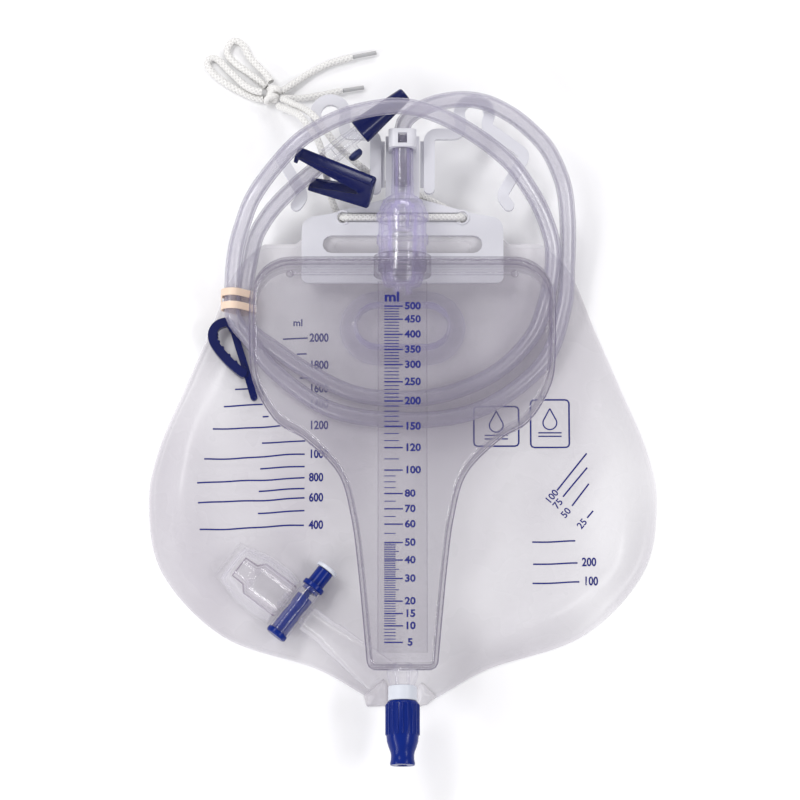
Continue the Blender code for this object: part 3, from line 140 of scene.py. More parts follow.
def inset(outline, distance):
    """A clockwise outline moved inward by a distance."""
    result = []
    for before, here, after in zip(outline[-1:] + outline, outline, outline[1:] + outline[:1]):
        along = (after - before).normalized()
        result.append(here + Vector((along.y, -along.x)) * distance)
    return result


def level(path, z):
    """A flat path at one height."""
    return [Vector((p.x, p.y, z)) for p in path]


def ease(value, low, high):
    t = min(1.0, max(0.0, (value - low) / (high - low)))
    return t * t * (3 - 2 * t)


def closed_ring(work, points):
    """A loop of vertices and edges."""
    verts = [work.verts.new(p) for p in points]
    edges = [work.edges.new((a, b)) for a, b in zip(verts, verts[1:] + verts[:1])]
    return verts, edges


def next_ring(work, ring, points):
    """Extrude a ring and move its vertices to the points, in the same order."""
    verts, edges = ring
    place = {tuple(v.co): p for v, p in zip(verts, points)}
    order = {tuple(v.co): i for i, v in enumerate(verts)}
    found = bmesh.ops.extrude_edge_only(work, edges=edges)["geom"]
    new_verts = [g for g in found if isinstance(g, bmesh.types.BMVert)]
    new_edges = [g for g in found if isinstance(g, bmesh.types.BMEdge)]
    new_verts.sort(key=lambda v: order[tuple(v.co)])
    for v in new_verts:
        v.co = place[tuple(v.co)]
    return new_verts, new_edges


def linked(name, data):
    """A new object in the scene."""
    obj = bpy.data.objects.new(name, data)
    bpy.context.scene.collection.objects.link(obj)
    return obj


def new_piece(name, work, material, body=SET, replaced=(), sharp=35, closed=True):
    """A finished piece from a bmesh, riding on its body."""
    if closed:
        bmesh.ops.remove_doubles(work, verts=work.verts, dist=0.002 * MM)
        bmesh.ops.recalc_face_normals(work, faces=work.faces)
    mesh = bpy.data.meshes.new(name)
    work.to_mesh(mesh)
    work.free()
    mesh.shade_smooth()
    mesh.set_sharp_from_angle(angle=math.radians(sharp))
    return dress(linked(name, mesh), material, body, replaced)


def dress(obj, material, body=SET, replaced=()):
    obj.data.materials.clear()
    obj.data.materials.append(material)
    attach(obj, body)
    if replaced:
        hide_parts(*replaced)
    return obj


def soften(obj, width, segments=2, angle=35):
    bevel = obj.modifiers.new("soft_edges", "BEVEL")
    bevel.width = width
    bevel.segments = segments
    bevel.limit_method = "ANGLE"
    bevel.angle_limit = math.radians(angle)
    return obj


def thicken(obj, thickness, offset=0):
    """Give a sheet its thickness, on both sides or inward."""
    wall = obj.modifiers.new("wall", "SOLIDIFY")
    wall.thickness = thickness
    wall.offset = offset


def moulded(name, node, material, body=SET, edge=0.0, sharp=35):
    """A merged copy of a CAD node with softened edges, which stands for it."""
    work = bmesh.new()
    work.from_mesh(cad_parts[node].data)
    bmesh.ops.remove_doubles(work, verts=work.verts, dist=0.002 * MM)
    bmesh.ops.dissolve_limit(work, angle_limit=math.radians(0.5), verts=work.verts, edges=work.edges)
    obj = new_piece(name, work, material, body, (node,), sharp)
    return soften(obj, edge) if edge else obj


def spun(name, profile, material, slot, body=SET, replaced=(), origin=(0, 0, AXIS_Z), direction=(0, 1, 0),
         steps=64, loop=False, edge=0.0, flatness=1.0):
    """A turned piece from (radius, height) points in millimetres, closed on itself or on its axis.

    Unless told otherwise it stands on the chamber's axis, with heights measured along Y.
    """
    work = bmesh.new()
    verts = [work.verts.new((r * MM, 0, h * MM)) for r, h in profile]
    pairs = list(zip(verts, verts[1:]))
    if loop:
        pairs.append((verts[-1], verts[0]))
    edges = [work.edges.new(pair) for pair in pairs]
    bmesh.ops.spin(work, geom=verts + edges, cent=(0, 0, 0), axis=(0, 0, 1), angle=math.tau, steps=steps,
                   use_merge=True)
    turn = Vector(direction).to_track_quat("Z", "Y").to_matrix().to_4x4()
    flat = Matrix.Diagonal((1, 1, flatness, 1))
    bmesh.ops.transform(work, matrix=Matrix.Translation(origin) @ flat @ turn, verts=work.verts)
    obj = new_piece(name, work, material, body, replaced)
    if edge:
        soften(obj, edge)


def tube_curve(name, points, radius, resolution=6, caps=True):
    """A round curve of one open spline."""
    curve = bpy.data.curves.new(name, "CURVE")
    curve.dimensions = "3D"
    curve.bevel_depth = radius
    curve.bevel_resolution = resolution
    curve.use_fill_caps = caps
    spline = curve.splines.new("POLY")
    spline.points.add(len(points) - 1)
    for point, position in zip(spline.points, points):
        point.co = (*position, 1)
    spline.use_smooth = True
    return linked(name, curve)


def bead(name, path, radius, material, closed=False):
    """A round bead along a path."""
    if closed:
        path = path + path[:1]
    work = flat_mesh(tube_curve(name, path, radius, 3, caps=not closed))
    new_piece(name, work, material)


def length_of(points):
    return sum((b - a).length for a, b in zip(points, points[1:]))


def flat_mesh(obj):
    """A curve or text object as a bmesh, with the object removed."""
    bpy.context.view_layer.update()
    mesh = bpy.data.meshes.new_from_object(obj.evaluated_get(bpy.context.evaluated_depsgraph_get()))
    work = bmesh.new()
    work.from_mesh(mesh)
    bpy.data.objects.remove(obj, do_unlink=True)
    bpy.data.meshes.remove(mesh)
    return work


# Finishes

OWN_UV = 2
OBJECT_PLACE = 3
FACE_MIRROR = 0.022
EDGE_MIRROR = 0.7
STRANDS_AROUND = 4.0


class Wire:
    """A node's output that takes part in Python arithmetic."""

    def __init__(self, finish, socket):
        self.finish = finish
        self.socket = socket

    def __add__(self, other):
        return self.finish.math("ADD", self, other)

    __radd__ = __add__

    def __sub__(self, other):
        return self.finish.math("SUBTRACT", self, other)

    def __rsub__(self, other):
        return self.finish.math("SUBTRACT", other, self)

    def __mul__(self, other):
        return self.finish.math("MULTIPLY", self, other)

    __rmul__ = __mul__

    def __pow__(self, other):
        return self.finish.math("POWER", self, other)


class Finish:
    """A material whose nodes are written as expressions."""

    def __init__(self, name):
        self.material = bpy.data.materials.new(name)
        self.material.use_nodes = True
        self.tree = self.material.node_tree
        self.tree.nodes.clear()

    def node(self, kind, sockets=None, output=0, **settings):
        """A node with its settings, then its sockets' values or links."""
        node = self.tree.nodes.new("ShaderNode" + kind)
        for name, value in settings.items():
            setattr(node, name, value)
        for name, value in (sockets or {}).items():
            if isinstance(value, Wire):
                self.tree.links.new(value.socket, node.inputs[name])
            else:
                node.inputs[name].default_value = value
        return Wire(self, node.outputs[output])

    def math(self, operation, *values):
        return self.node("Math", dict(enumerate(values)), operation=operation)

    def between(self, low, high, share):
        """A number that runs from low to high with a share."""
        return share * (high - low) + low

    def colours(self, first, second, share):
        """A colour between two colours."""
        values = {"Factor": share, 6: (*first, 1), 7: (*second, 1)}
        return self.node("Mix", values, 2, data_type="RGBA")

    def grain(self, scale, detail=2.0, stretch=None):
        """Noise between 0 and 1 on object coordinates."""
        where = self.node("TexCoord", output=OBJECT_PLACE)
        if stretch:
            where = self.node("Mapping", {"Vector": where, "Scale": stretch})
        return self.node("TexNoise", {"Vector": where, "Scale": scale, "Detail": detail})

    def bump(self, height, strength, distance):
        return self.node("Bump", {"Height": height, "Strength": strength, "Distance": distance})

    def facing(self):
        """0 where a surface faces the eye and 1 at its edge."""
        return self.node("LayerWeight", {"Blend": 0.5}, 1)

    def wall(self, facing, power, line, line_at, narrowness):
        """1 at an edge, and a share of it on the line that a wall's inner face draws. In the colour this
        share places painted shade.
        """
        away = self.math("ABSOLUTE", facing - line_at)
        inner = self.math("MAXIMUM", 1.0 - away * narrowness, 0.0) * line
        return self.math("MINIMUM", facing ** power + inner, 1.0)

    def clear(self, tint, rim, share, alpha, rough, refraction, ripple, facing, mirror):
        """A see-through body under a reflection that grows toward its edge, its colour painted darker toward
        the rim colour as painted shade of the lines that refraction draws in a wall.
        """
        surface = {"Roughness": rough, **ripple}
        # The body's colour mixes the tint into the darker rim colour by the wall share: painted shade at
        # edges.
        body = self.node("BsdfPrincipled", {
            "Base Color": self.colours(tint, rim, share), "IOR": refraction, "Alpha": alpha, **surface})
        shine = self.node("BsdfGlossy", {"Color": (1, 1, 1, 1), **surface})
        reflected = self.between(mirror, EDGE_MIRROR, facing ** 6.0)
        return self.show(self.node("MixShader", {0: reflected, 1: body, 2: shine}))

    def solid(self, sockets):
        """The finished material with one principled shader."""
        return self.show(self.node("BsdfPrincipled", sockets))

    def show(self, shader):
        """The finished material with a shader on its surface."""
        out = self.tree.nodes.new("ShaderNodeOutputMaterial")
        self.tree.links.new(shader.socket, out.inputs["Surface"])
        return self.material


def clear_moulding(name, tint, rim, face, edge, power, roughness=0.05, ripple=0.05, line=0.3,
                   mirror=FACE_MIRROR):
    """Clear plastic: see-through where it faces the eye, with the two dark lines of its wall at an edge
    painted into its colour as painted shade.
    """
    finish = Finish(name)
    facing = finish.facing()
    share = finish.wall(facing, power, line, 0.2, 11.0)
    waves = {"Normal": finish.bump(finish.grain(45.0), ripple, 0.4 * MM)} if ripple else {}
    rough = finish.between(roughness, roughness + 0.05, finish.grain(160.0, 0.0))
    alpha = finish.between(face, edge, share)
    return finish.clear(tint, rim, share, alpha, rough, 1.5, waves, facing, mirror)


def soft_vinyl(name, tint, rim, face, edge, roughness=0.12, ripple=0.12):
    """Soft clear vinyl of the tube, the sleeve and the pocket, with walls painted darker toward the edge as
    painted shade.
    """
    finish = Finish(name)
    facing = finish.facing()
    share = finish.wall(facing, 2.2, 0.3, 0.34, 8.0)
    waves = {"Normal": finish.bump(finish.grain(60.0), ripple, 0.5 * MM)} if ripple else {}
    rough = finish.between(roughness, roughness + 0.1, finish.grain(200.0, 0.0))
    alpha = finish.between(face, edge, share)
    return finish.clear(tint, rim, share, alpha, rough, 1.52, waves, facing, FACE_MIRROR)


def moulded_plastic(name, colour, shade, roughness, gloss=0.5):
    """Opaque moulded plastic with a faint flow pattern, fine texture and rubbed patches."""
    finish = Finish(name)
    flow = finish.grain(38.0, 3.0)
    fine = finish.grain(900.0, 2.0)
    tone = finish.colours(colour, shade, flow)
    rough = finish.between(roughness - 0.08, roughness + 0.14, finish.grain(120.0, 4.0))
    normal = finish.bump(fine + flow * 0.6, 0.12, 0.15 * MM)
    return finish.solid({
        "Base Color": tone, "Roughness": rough, "IOR": 1.48, "Normal": normal, "Specular IOR Level": gloss})


def bag_film():
    """Frosted film: milky, with soft highlights, faint creases and broad patches of painted light and shade
    that stand in for the shading of soft folds.
    """
    finish = Finish("bag_film")
    facing = finish.facing()
    # Painted light and shade: a stretched cloud lightens and darkens the film's colour where soft folds would
    # be lit or shaded.
    painted_fold_shade = finish.grain(11.0, 2.0, (1.0, 0.55, 1.0)) * 2.4 - 0.7
    tone = finish.colours((0.68, 0.65, 0.7), (0.96, 0.95, 0.97), painted_fold_shade)
    crease = finish.grain(9.0, 2.0, (1.0, 0.45, 1.0))
    normal = finish.bump(crease, 0.7, 3 * MM)
    rough = finish.between(0.2, 0.36, finish.grain(60.0, 1.0))
    alpha = finish.between(0.5, 0.92, facing ** 1.6)
    return finish.solid({
        "Base Color": tone, "Roughness": rough, "IOR": 1.5, "Normal": normal, "Alpha": alpha})


def print_ink():
    """Dark blue screen print, a little thin in places."""
    finish = Finish("print_ink")
    thin = finish.grain(700.0, 3.0)
    tone = finish.colours((0.004, 0.007, 0.13), (0.01, 0.016, 0.19), thin)
    alpha = finish.between(1.0, 0.9, thin)
    return finish.solid({"Base Color": tone, "Roughness": 0.6, "Specular IOR Level": 0.25, "Alpha": alpha})


def fibre(finish, strands, depth, sheen=0.0):
    """Off-white fibre over a pattern of strands, painted darker between the strands as painted shade in the
    grooves.
    """
    fuzz = finish.grain(2600.0, 2.0)
    # The colour follows the strands' height: painted shade darkens the grooves between them.
    tone = finish.colours((0.72, 0.71, 0.69), (0.9, 0.895, 0.87), strands * 0.8 + fuzz * 0.2)
    normal = finish.bump(strands + fuzz * 0.25, depth, 0.5 * MM)
    return finish.solid({"Base Color": tone, "Roughness": 0.85, "Normal": normal, "Sheen Weight": sheen})


def braided_cord(name, turns):
    """Braid: strands that cross in two directions along the rope."""
    finish = Finish(name)
    where = finish.node("TexCoord", output=OWN_UV)
    along = finish.node("SeparateXYZ", {"Vector": where}, 0)
    around = finish.node("SeparateXYZ", {"Vector": where}, 1)
    strands = around * STRANDS_AROUND
    first = finish.math("SINE", (along * turns + strands) * math.tau)
    second = finish.math("SINE", (along * turns - strands) * math.tau)
    return fibre(finish, finish.math("MAXIMUM", first, second) * 0.5 + 0.5, 0.9, 0.3)


def knot_cord():
    """The knot's braid, laid by place because its turns have no length to follow."""
    finish = Finish("knot_braid")
    where = finish.node("TexCoord", output=OBJECT_PLACE)
    # The knot's cell edges come out darker through fibre(), as painted shade between its strands.
    return fibre(finish, 1.0 - finish.node("TexVoronoi", {"Vector": where, "Scale": 620.0}), 0.8)


def rubber(name, colour, shade, roughness):
    """Matt rubber with fine lengthwise marks."""
    finish = Finish(name)
    tone = finish.colours(colour, shade, finish.grain(300.0, 4.0))
    normal = finish.bump(finish.grain(500.0, 3.0, (1.0, 0.1, 1.0)), 0.25, 0.2 * MM)
    return finish.solid({"Base Color": tone, "Roughness": roughness, "Normal": normal})


def pale_floor():
    return Finish("pale_floor").solid({"Base Color": (0.93, 0.93, 0.935, 1), "Roughness": 0.8})


# Each clear finish's second colour is its rim colour: painted shade that darkens the plastic at a wall's edge
# and on its inner wall line.
CHAMBER = clear_moulding("chamber_clear", (0.2, 0.17, 0.25), (0.08, 0.065, 0.13), 0.07, 0.75, 3.0, line=0.5)
# The dark seam finish also draws the line inside the inner wall, as painted shade.
SEAM = clear_moulding("seam_clear", (0.2, 0.17, 0.28), (0.1, 0.08, 0.16), 0.35, 0.8, 1.5)
TINTED = clear_moulding("drip_clear", (0.6, 0.54, 0.84), (0.17, 0.13, 0.38), 0.02, 0.75, 2.4, line=0.4)
CLEAR = clear_moulding("tap_clear", (0.7, 0.68, 0.8), (0.2, 0.18, 0.32), 0.01, 0.6, 2.6,
                       roughness=0.03, ripple=0.0, line=0.2, mirror=0.012)
SPOUT = clear_moulding("spout_clear", (0.66, 0.61, 0.7), (0.22, 0.165, 0.26), 0.03, 0.6, 2.2,
                       roughness=0.03, ripple=0.0, line=0.2)
# A dark clear finish for the line painted round the spout: painted shade where its wall is seen edge on.
SPOUT_SHADE_LINE = clear_moulding("spout_shade_line", (0.3, 0.24, 0.33), (0.2, 0.16, 0.25), 0.55, 0.85, 1.5)
DUCT = clear_moulding("duct_clear", (0.75, 0.72, 0.95), (0.26, 0.22, 0.55), 0.05, 0.85, 1.8, line=0.5)
FILM_FINISH = bag_film()
# The vinyl rim colours are painted shade at the edges of the tube, sleeve and pocket walls.
SLEEVE = soft_vinyl("sleeve_vinyl", (0.9, 0.88, 0.92), (0.6, 0.57, 0.66), 0.08, 0.5)
TUBE = soft_vinyl("tube_vinyl", (0.5, 0.475, 0.58), (0.17, 0.15, 0.28), 0.2, 0.85, ripple=0.0)
POCKET = soft_vinyl("pocket_vinyl", (0.9, 0.89, 0.93), (0.5, 0.47, 0.58), 0.02, 0.55, 0.4)
INK = print_ink()
HANGER = moulded_plastic("hanger_white", (0.73, 0.73, 0.77), (0.66, 0.66, 0.71), 0.34)
WHITE = moulded_plastic("collar_white", (0.66, 0.68, 0.73), (0.6, 0.63, 0.7), 0.3)
ROYAL = moulded_plastic("royal_blue", (0.0, 0.016, 0.2), (0.0, 0.012, 0.15), 0.22, gloss=0.22)
NAVY = moulded_plastic("navy_blue", (0.001, 0.006, 0.085), (0.001, 0.004, 0.065), 0.2, gloss=0.35)
TIP = moulded_plastic("tip_grey", (0.5, 0.5, 0.5), (0.4, 0.4, 0.41), 0.2)
SEAL = rubber("seal_black", (0.02, 0.02, 0.022), (0.03, 0.03, 0.032), 0.6)
SEPTUM = rubber("septum_blue", (0.004, 0.012, 0.08), (0.006, 0.016, 0.1), 0.5)
BAND = rubber("band_latex", (0.86, 0.68, 0.54), (0.79, 0.6, 0.46), 0.5)
KNOT = knot_cord()


# Film bag

def bag_outline():
    """The bag's welded edge: header, round shoulders, wide belly and narrow neck."""
    corner = HEADER_HALF_WIDTH
    side = smooth([
        (corner, BAG_TOP),
        (corner + 18.5 * MM, BAG_TOP - 17 * MM),
        (BAG_HALF_WIDTH - 36.5 * MM, BAG_TOP - 49 * MM),
        (BAG_HALF_WIDTH - 21.5 * MM, BAG_TOP - 85 * MM),
        (BAG_HALF_WIDTH - 6 * MM, BAG_TOP - 123 * MM),
        (BAG_HALF_WIDTH, BAG_TOP - 157 * MM),
        (BAG_HALF_WIDTH - 8.5 * MM, BAG_BOTTOM + 81 * MM),
        (BAG_HALF_WIDTH - 45.5 * MM, BAG_BOTTOM + 42.5 * MM),
        (NECK_HALF_WIDTH + 42 * MM, BAG_BOTTOM + 23.5 * MM),
        (NECK_HALF_WIDTH + 14 * MM, BAG_BOTTOM + 8 * MM),
        (NECK_HALF_WIDTH, BAG_BOTTOM)], 10)
    top = [Vector((x, BAG_TOP + TAB_RISE)) for x in (0.0, TAB_HALF_WIDTH)]
    top.append(Vector((TAB_HALF_WIDTH + 6 * MM, BAG_TOP)))
    return mirrored(top + side + [Vector((0.0, BAG_BOTTOM))])


def header_share(y):
    """0 on the bag's body, rising to 1 at the header's edge."""
    return ease(y, BAG_TOP + TAB_RISE - 33 * MM, BAG_TOP + TAB_RISE)


def under_something(x, y):
    """1 under the coil, the duct and the tap, where the film can't rise."""
    coil = ease(y, -14 * MM, 2 * MM) * (1 - ease(abs(x), 112 * MM, 122 * MM))
    tap = (Vector((x, y)) - Vector((-72, -104)) * MM).length
    sleeve = (Vector((x, y)) - Vector((-36, -132)) * MM).length
    return max(coil, 1 - ease(tap, 40 * MM, 52 * MM), 1 - ease(sleeve, 24 * MM, 34 * MM))


# Long soft folds of the front film: two ends, height and half width in millimetres
FOLDS = (((-128, -88), (-22, -158), 2.6, 7), ((-95, -118), (-14, -160), -1.8, 6),
         ((118, -86), (24, -156), 2.4, 8), ((136, -30), (128, -95), 2.2, 9),
         ((-131, 10), (-137, -62), 2.2, 9), ((122, 22), (100, -30), 1.8, 9), ((70, -60), (34, -128), 1.8, 9),
         ((-56, -66), (-38, -104), 1.6, 8), ((-104, -62), (-50, -76), 1.5, 7),
         ((60, -108), (18, -158), -1.6, 5))


def fold_height(x, y):
    """The height that the long folds add at a place."""
    here = Vector((x, y)) / MM
    total = 0.0
    for start, end, height, width in FOLDS:
        a, b = Vector(start), Vector(end)
        share = min(1.0, max(0.0, (here - a).dot(b - a) / (b - a).length_squared))
        away = (here - a.lerp(b, share)).length / width
        total += height * math.exp(-away * away) * math.sin(math.pi * (0.15 + 0.7 * share))
    return total * MM


def puff(x, y):
    """The film's soft swells and the folds that run up from the neck."""
    swell = noise.noise(Vector((x * 17, y * 17, 3.7))) + 0.35 * noise.noise(Vector((x * 42, y * 42, 8.1)))
    neck = Vector((x, y - BAG_BOTTOM - 10 * MM))
    turn = math.atan2(neck.x, neck.y)
    near = 1 - ease(neck.length, 30 * MM, 120 * MM)
    fold = noise.noise(Vector((turn * 5.5, neck.length * 4, 1.3))) * near
    return 2.6 * MM * swell + 1.6 * MM * fold + fold_height(x, y)


# Shares of the way in from the bag's edge where the film leaves the weld and has filled
WELD_END = 0.018
FILLED_AT = 0.16


def film_height(x, y, share, front):
    """The height of the back or the front film at a place."""
    lift = HEADER_LIFT * header_share(y)
    if not front:
        return lift
    rise = ease(share, WELD_END, FILLED_AT) ** 0.7
    filled = FILM + (BAG_DEPTH * 0.86 - FILM) * rise * (1 - header_share(y))
    swell = puff(x, y) * rise * (1 - header_share(y))
    free = 1 - under_something(x, y)
    height = filled + swell * (0.12 + 0.88 * free) + 1.3 * MM * rise * free
    ceiling = BAG_DEPTH + 5 * MM * free
    return lift + max(FILM, min(height, ceiling))


def build_bag():
    """Two films welded at the edge, the front one softly puffed."""
    outline = evenly(bag_outline(), 3 * MM, True)
    centre = Vector((0, -25 * MM))
    shares = [0.0, 0.012, 0.018, 0.026, 0.04, 0.06, 0.085, 0.115] + [0.15 + 0.0425 * i for i in range(20)]
    work = bmesh.new()
    start = closed_ring(work, [(p.x, p.y, HEADER_LIFT * header_share(p.y) + 0.4 * MM) for p in outline])
    for front in (True, False):
        ring = start
        for share in shares[1:]:
            points = []
            for p in outline:
                q = p.lerp(centre, share)
                points.append(Vector((q.x, q.y, film_height(q.x, q.y, share, front))))
            ring = next_ring(work, ring, points)
        middle = film_height(centre.x, centre.y, 1.0, front)
        bmesh.ops.pointmerge(work, verts=ring[0], merge_co=(centre.x, centre.y, middle))
    return new_piece("bag_films", work, FILM_FINISH, replaced=("bag",), sharp=60)


def surface_under(obj):
    """A function that gives an object's height at a place, from above."""
    work = bmesh.new()
    work.from_mesh(obj.data)
    tree = BVHTree.FromBMesh(work)
    work.free()

    def height(x, y):
        hit = tree.ray_cast(Vector((x, y, 0.2)), Vector((0, 0, -1)))[0]
        return hit.z if hit else 0.0
    return height


def laid(path, height, lift):
    """A flat path laid on a surface at a lift."""
    return [Vector((p.x, p.y, height(p.x, p.y) + lift)) for p in path]


def build_weld_lines(bag_height):
    """The pressed lines of the edge weld and of the header's weld under the hanger."""
    lift = 0.1 * MM
    path = inset(evenly(bag_outline(), 4 * MM, True), 2.3 * MM)
    work = bmesh.new()
    outer = closed_ring(work, laid(path, bag_height, lift))
    next_ring(work, outer, laid(inset(path, 0.3 * MM), bag_height, lift))
    new_piece("weld_lines", work, SLEEVE, closed=False)
    ends = arc(38 * MM, BAG_TOP - 1.5 * MM, 3.4 * MM, 90, -90, 8)
    channel = ends + [Vector((-p.x, p.y)) for p in reversed(ends)]
    path = laid(evenly(channel, 3 * MM, True), bag_height, lift)
    bead("header_channel", path, 0.5 * MM, SLEEVE, closed=True)


def build_neck_folds(bag_height):
    """The film's corners that are folded up beside the collar."""
    for name, side, points in (
            ("neck_fold_left", -1, ((23, -158.5), (11, -149), (8.9, -153.5), (9, -164.6), (21.5, -164.9))),
            ("neck_fold_right", 1, ((20, -159), (11.5, -151), (8.9, -154.5), (9, -164.4), (14, -164.2)))):
        rim = [Vector((side * x, y)) * MM for x, y in points]
        middle = sum(rim, Vector((0, 0))) / len(rim)
        work = bmesh.new()
        edge = evenly(rim, 1.5 * MM, True)
        ring = closed_ring(work, laid(edge, bag_height, 0.35 * MM))
        for share in (0.3, 0.6, 0.85):
            lift = (0.8 + 2.4 * share) * MM
            ring = next_ring(work, ring, laid([p.lerp(middle, share) for p in edge], bag_height, lift))
        bmesh.ops.pointmerge(work, verts=ring[0], merge_co=(middle.x, middle.y, bag_height(*middle) + 3 * MM))
        thicken(new_piece(name, work, FILM_FINISH, closed=False, sharp=80), ONE_FILM)


INK_LIFT = 0.12 * MM
CHAMBER_INK_LIFT = 0.06 * MM
BAG_LINE = 0.95 * MM
DIGIT = 7.2 * MM
DIGIT_BOLD = 0.22 * MM


def stripe(work, path, width, height, lift=INK_LIFT):
    """A printed line of even width along a flat path, laid on a surface."""
    verts = []
    for i, here in enumerate(path):
        along = (path[min(i + 1, len(path) - 1)] - path[max(i - 1, 0)]).normalized()
        side = Vector((-along.y, along.x)) * width / 2
        verts.append([work.verts.new(p) for p in laid([here - side, here + side], height, lift)])
    for (a, b), (c, d) in zip(verts, verts[1:]):
        work.faces.new((a, c, d, b))


def words(work, text, x, y, size, height, turn=0.0, align="LEFT", lift=INK_LIFT, bold=0.0, wide=1.0):
    """Printed characters, laid on a surface."""
    curve = bpy.data.curves.new("words", "FONT")
    curve.body = text
    curve.size = size
    curve.align_x = align
    curve.align_y = "CENTER"
    curve.resolution_u = 3
    curve.offset = bold
    glyphs = flat_mesh(linked("words", curve))
    matrix = Matrix.Translation((x, y, 0)) @ Matrix.Rotation(turn, 4, "Z") @ Matrix.Diagonal((wide, 1, 1, 1))
    bmesh.ops.transform(glyphs, matrix=matrix, verts=glyphs.verts)
    for v in glyphs.verts:
        v.co.z = height(v.co.x, v.co.y) + lift
    mesh = bpy.data.meshes.new("words")
    glyphs.to_mesh(mesh)
    glyphs.free()
    work.from_mesh(mesh)
    bpy.data.meshes.remove(mesh)


# Printed lines of the bag in millimetres: from x, to x, y and the number beside it
BAG_LINES_LEFT = (
    (-72.3, -57.3, 58.1, "2000"), (-63.9, -57.9, 48.9, ""), (-57.0, -52.0, 41.8, "1800"),
    (-62.0, -54.0, 34.0, ""), (-101.1, -92.1, 27.1, "1600"), (-107.7, -84.3, 16.7, "1400"),
    (-84.3, -80.7, 10.2, ""), (-114.3, -72.3, 2.5, "1200"), (-84.6, -58.5, -6.0, ""),
    (-119.3, -58.8, -16.2, "1000"), (-85.5, -58.8, -22.0, ""), (-123.3, -58.8, -30.7, "800"),
    (-86.3, -58.8, -35.6, ""), (-122.7, -58.8, -43.0, "600"), (-86.7, -58.8, -49.0, ""),
    (-121.5, -59.1, -59.4, "400"))
BAG_LINES_RIGHT = ((77.7, 103.5, -66.8, ""), (78.1, 104.7, -80.3, "200"), (77.7, 105.7, -91.9, "100"))
BAG_LINES_SLANTED = (
    ((92.7, -35.5), (110.7, -12.8), "100", (89.7, -39.2)),
    ((96.3, -39.2), (111.0, -21.4), "75", (93.3, -43.5)),
    ((101.7, -44.7), (111.9, -31.2), "50", (98.1, -49.0)),
    ((110.7, -52.1), (114.3, -47.8), "25", (107.7, -55.7)))


def build_bag_print(height):
    """The bag's scale lines and numbers, and two frames with a drop."""
    work = bmesh.new()
    for low, high, y, text in BAG_LINES_LEFT:
        count = max(2, round((high - low) / 3))
        path = []
        for i in range(count + 1):
            x = low + (high - low) * i / count
            wave = 0.3 * math.sin(x / 9 + y) + 0.15 * math.sin(x / 4)
            path.append(Vector((x, y + 3 * (x - low) / 62 + wave * min(1, (high - low) / 40))) * MM)
        stripe(work, path, BAG_LINE, height)
        if text:
            words(work, text, -56.2 * MM, path[-1].y, DIGIT, height, bold=DIGIT_BOLD, wide=0.8)
    for low, high, y, text in BAG_LINES_RIGHT:
        path = [Vector((low + (high - low) * i / 8, y + 0.9 * ease(i, 2, 8))) * MM for i in range(9)]
        stripe(work, path, BAG_LINE, height)
        if text:
            words(work, text, (high + 2.6) * MM, (y + 1.2) * MM, DIGIT, height, bold=DIGIT_BOLD, wide=0.8)
    for low, high, text, label in BAG_LINES_SLANTED:
        a, b = Vector(low) * MM, Vector(high) * MM
        path = [a.lerp(b, i / 6) for i in range(7)]
        stripe(work, path, BAG_LINE, height)
        words(work, text, label[0] * MM, label[1] * MM, 6 * MM, height, math.radians(50), "CENTER",
              bold=0.1 * MM)
    words(work, "ml", -63.3 * MM, 68.2 * MM, 6 * MM, height, align="CENTER", bold=0.14 * MM)
    for low, high in (((43, -8), (70, 16.5)), ((77.2, -9), (100.4, 20.6))):
        drop_frame(work, Vector(low) * MM, Vector(high) * MM, height)
    new_piece("bag_print", work, INK, closed=False)


def drop_frame(work, low, high, height):
    """A rounded frame around a drop over two level lines."""
    radius = 2.2 * MM
    frame_path = []
    for x, y, start in ((high.x - radius, high.y - radius, 90), (high.x - radius, low.y + radius, 0),
                        (low.x + radius, low.y + radius, -90), (low.x + radius, high.y - radius, -180)):
        frame_path += arc(x, y, radius, start, start - 90, 5)
    frame_path = evenly(frame_path, 1.5 * MM, True)
    stripe(work, frame_path + frame_path[:1], 1 * MM, height)
    middle = (low + high) / 2 + Vector((0, 1.5 * MM))
    size = 4.2 * MM
    drop = [middle + Vector((0, size * 1.9))] + [
        p + middle for p in arc(0, -size * 0.2, size, 40, -220, 16)]
    drop = evenly(drop, 1.2 * MM, True)
    stripe(work, drop + drop[:1], 0.8 * MM, height)
    for drop_y in (9.2 * MM, 7 * MM):
        y = middle.y - drop_y
        path = [Vector((middle.x + t * 7 * MM, y)) for t in (-1, -0.5, 0, 0.5, 1)]
        stripe(work, path, 0.8 * MM, height)


def tap_axes():
    along = Vector((math.cos(TAP_ANGLE), math.sin(TAP_ANGLE), 0))
    return along, Vector((-math.sin(TAP_ANGLE), math.cos(TAP_ANGLE), 0))


def build_pocket(height):
    """The clear film pocket welded over the spout, with its pressed rim."""
    along, over = tap_axes()
    work = bmesh.new()
    columns, rows = 36, 34
    bmesh.ops.create_grid(work, x_segments=columns, y_segments=rows, size=1)
    crown = 24 * MM
    for v in work.verts:
        across, depth = v.co.x, (v.co.y + 1) / 2
        reach = (9 + 43 * depth) * MM
        half = (18.2 - 5.2 * ease(depth, 0.45, 1.0)) * MM
        half *= 1 - 0.1 * ease(1 - depth, 0.8, 1.0)
        side = across * half
        place = TAP_CENTRE + along * side + over * reach
        rim = max(abs(across), ease(depth, 0.78, 1.0))
        dome = (1 - min(1.0, (abs(across) / 0.9)) ** 2.6) ** 0.62 if abs(across) < 0.9 else 0.0
        dome *= 1 - ease(reach, 43.5 * MM, 49 * MM)
        base = max(height(place.x, place.y), 6.5 * MM) + 0.25 * MM
        wrinkle = 0.35 * MM * noise.noise(Vector((side * 260, reach * 120, 2.0))) * rim
        v.co = Vector((place.x, place.y, base + (crown - base) * dome + wrinkle))
    pocket = new_piece("pocket_film", work, POCKET, replaced=("bag_pocket",), closed=False,
                       sharp=180)
    thicken(pocket, ONE_FILM)


# Measuring chamber

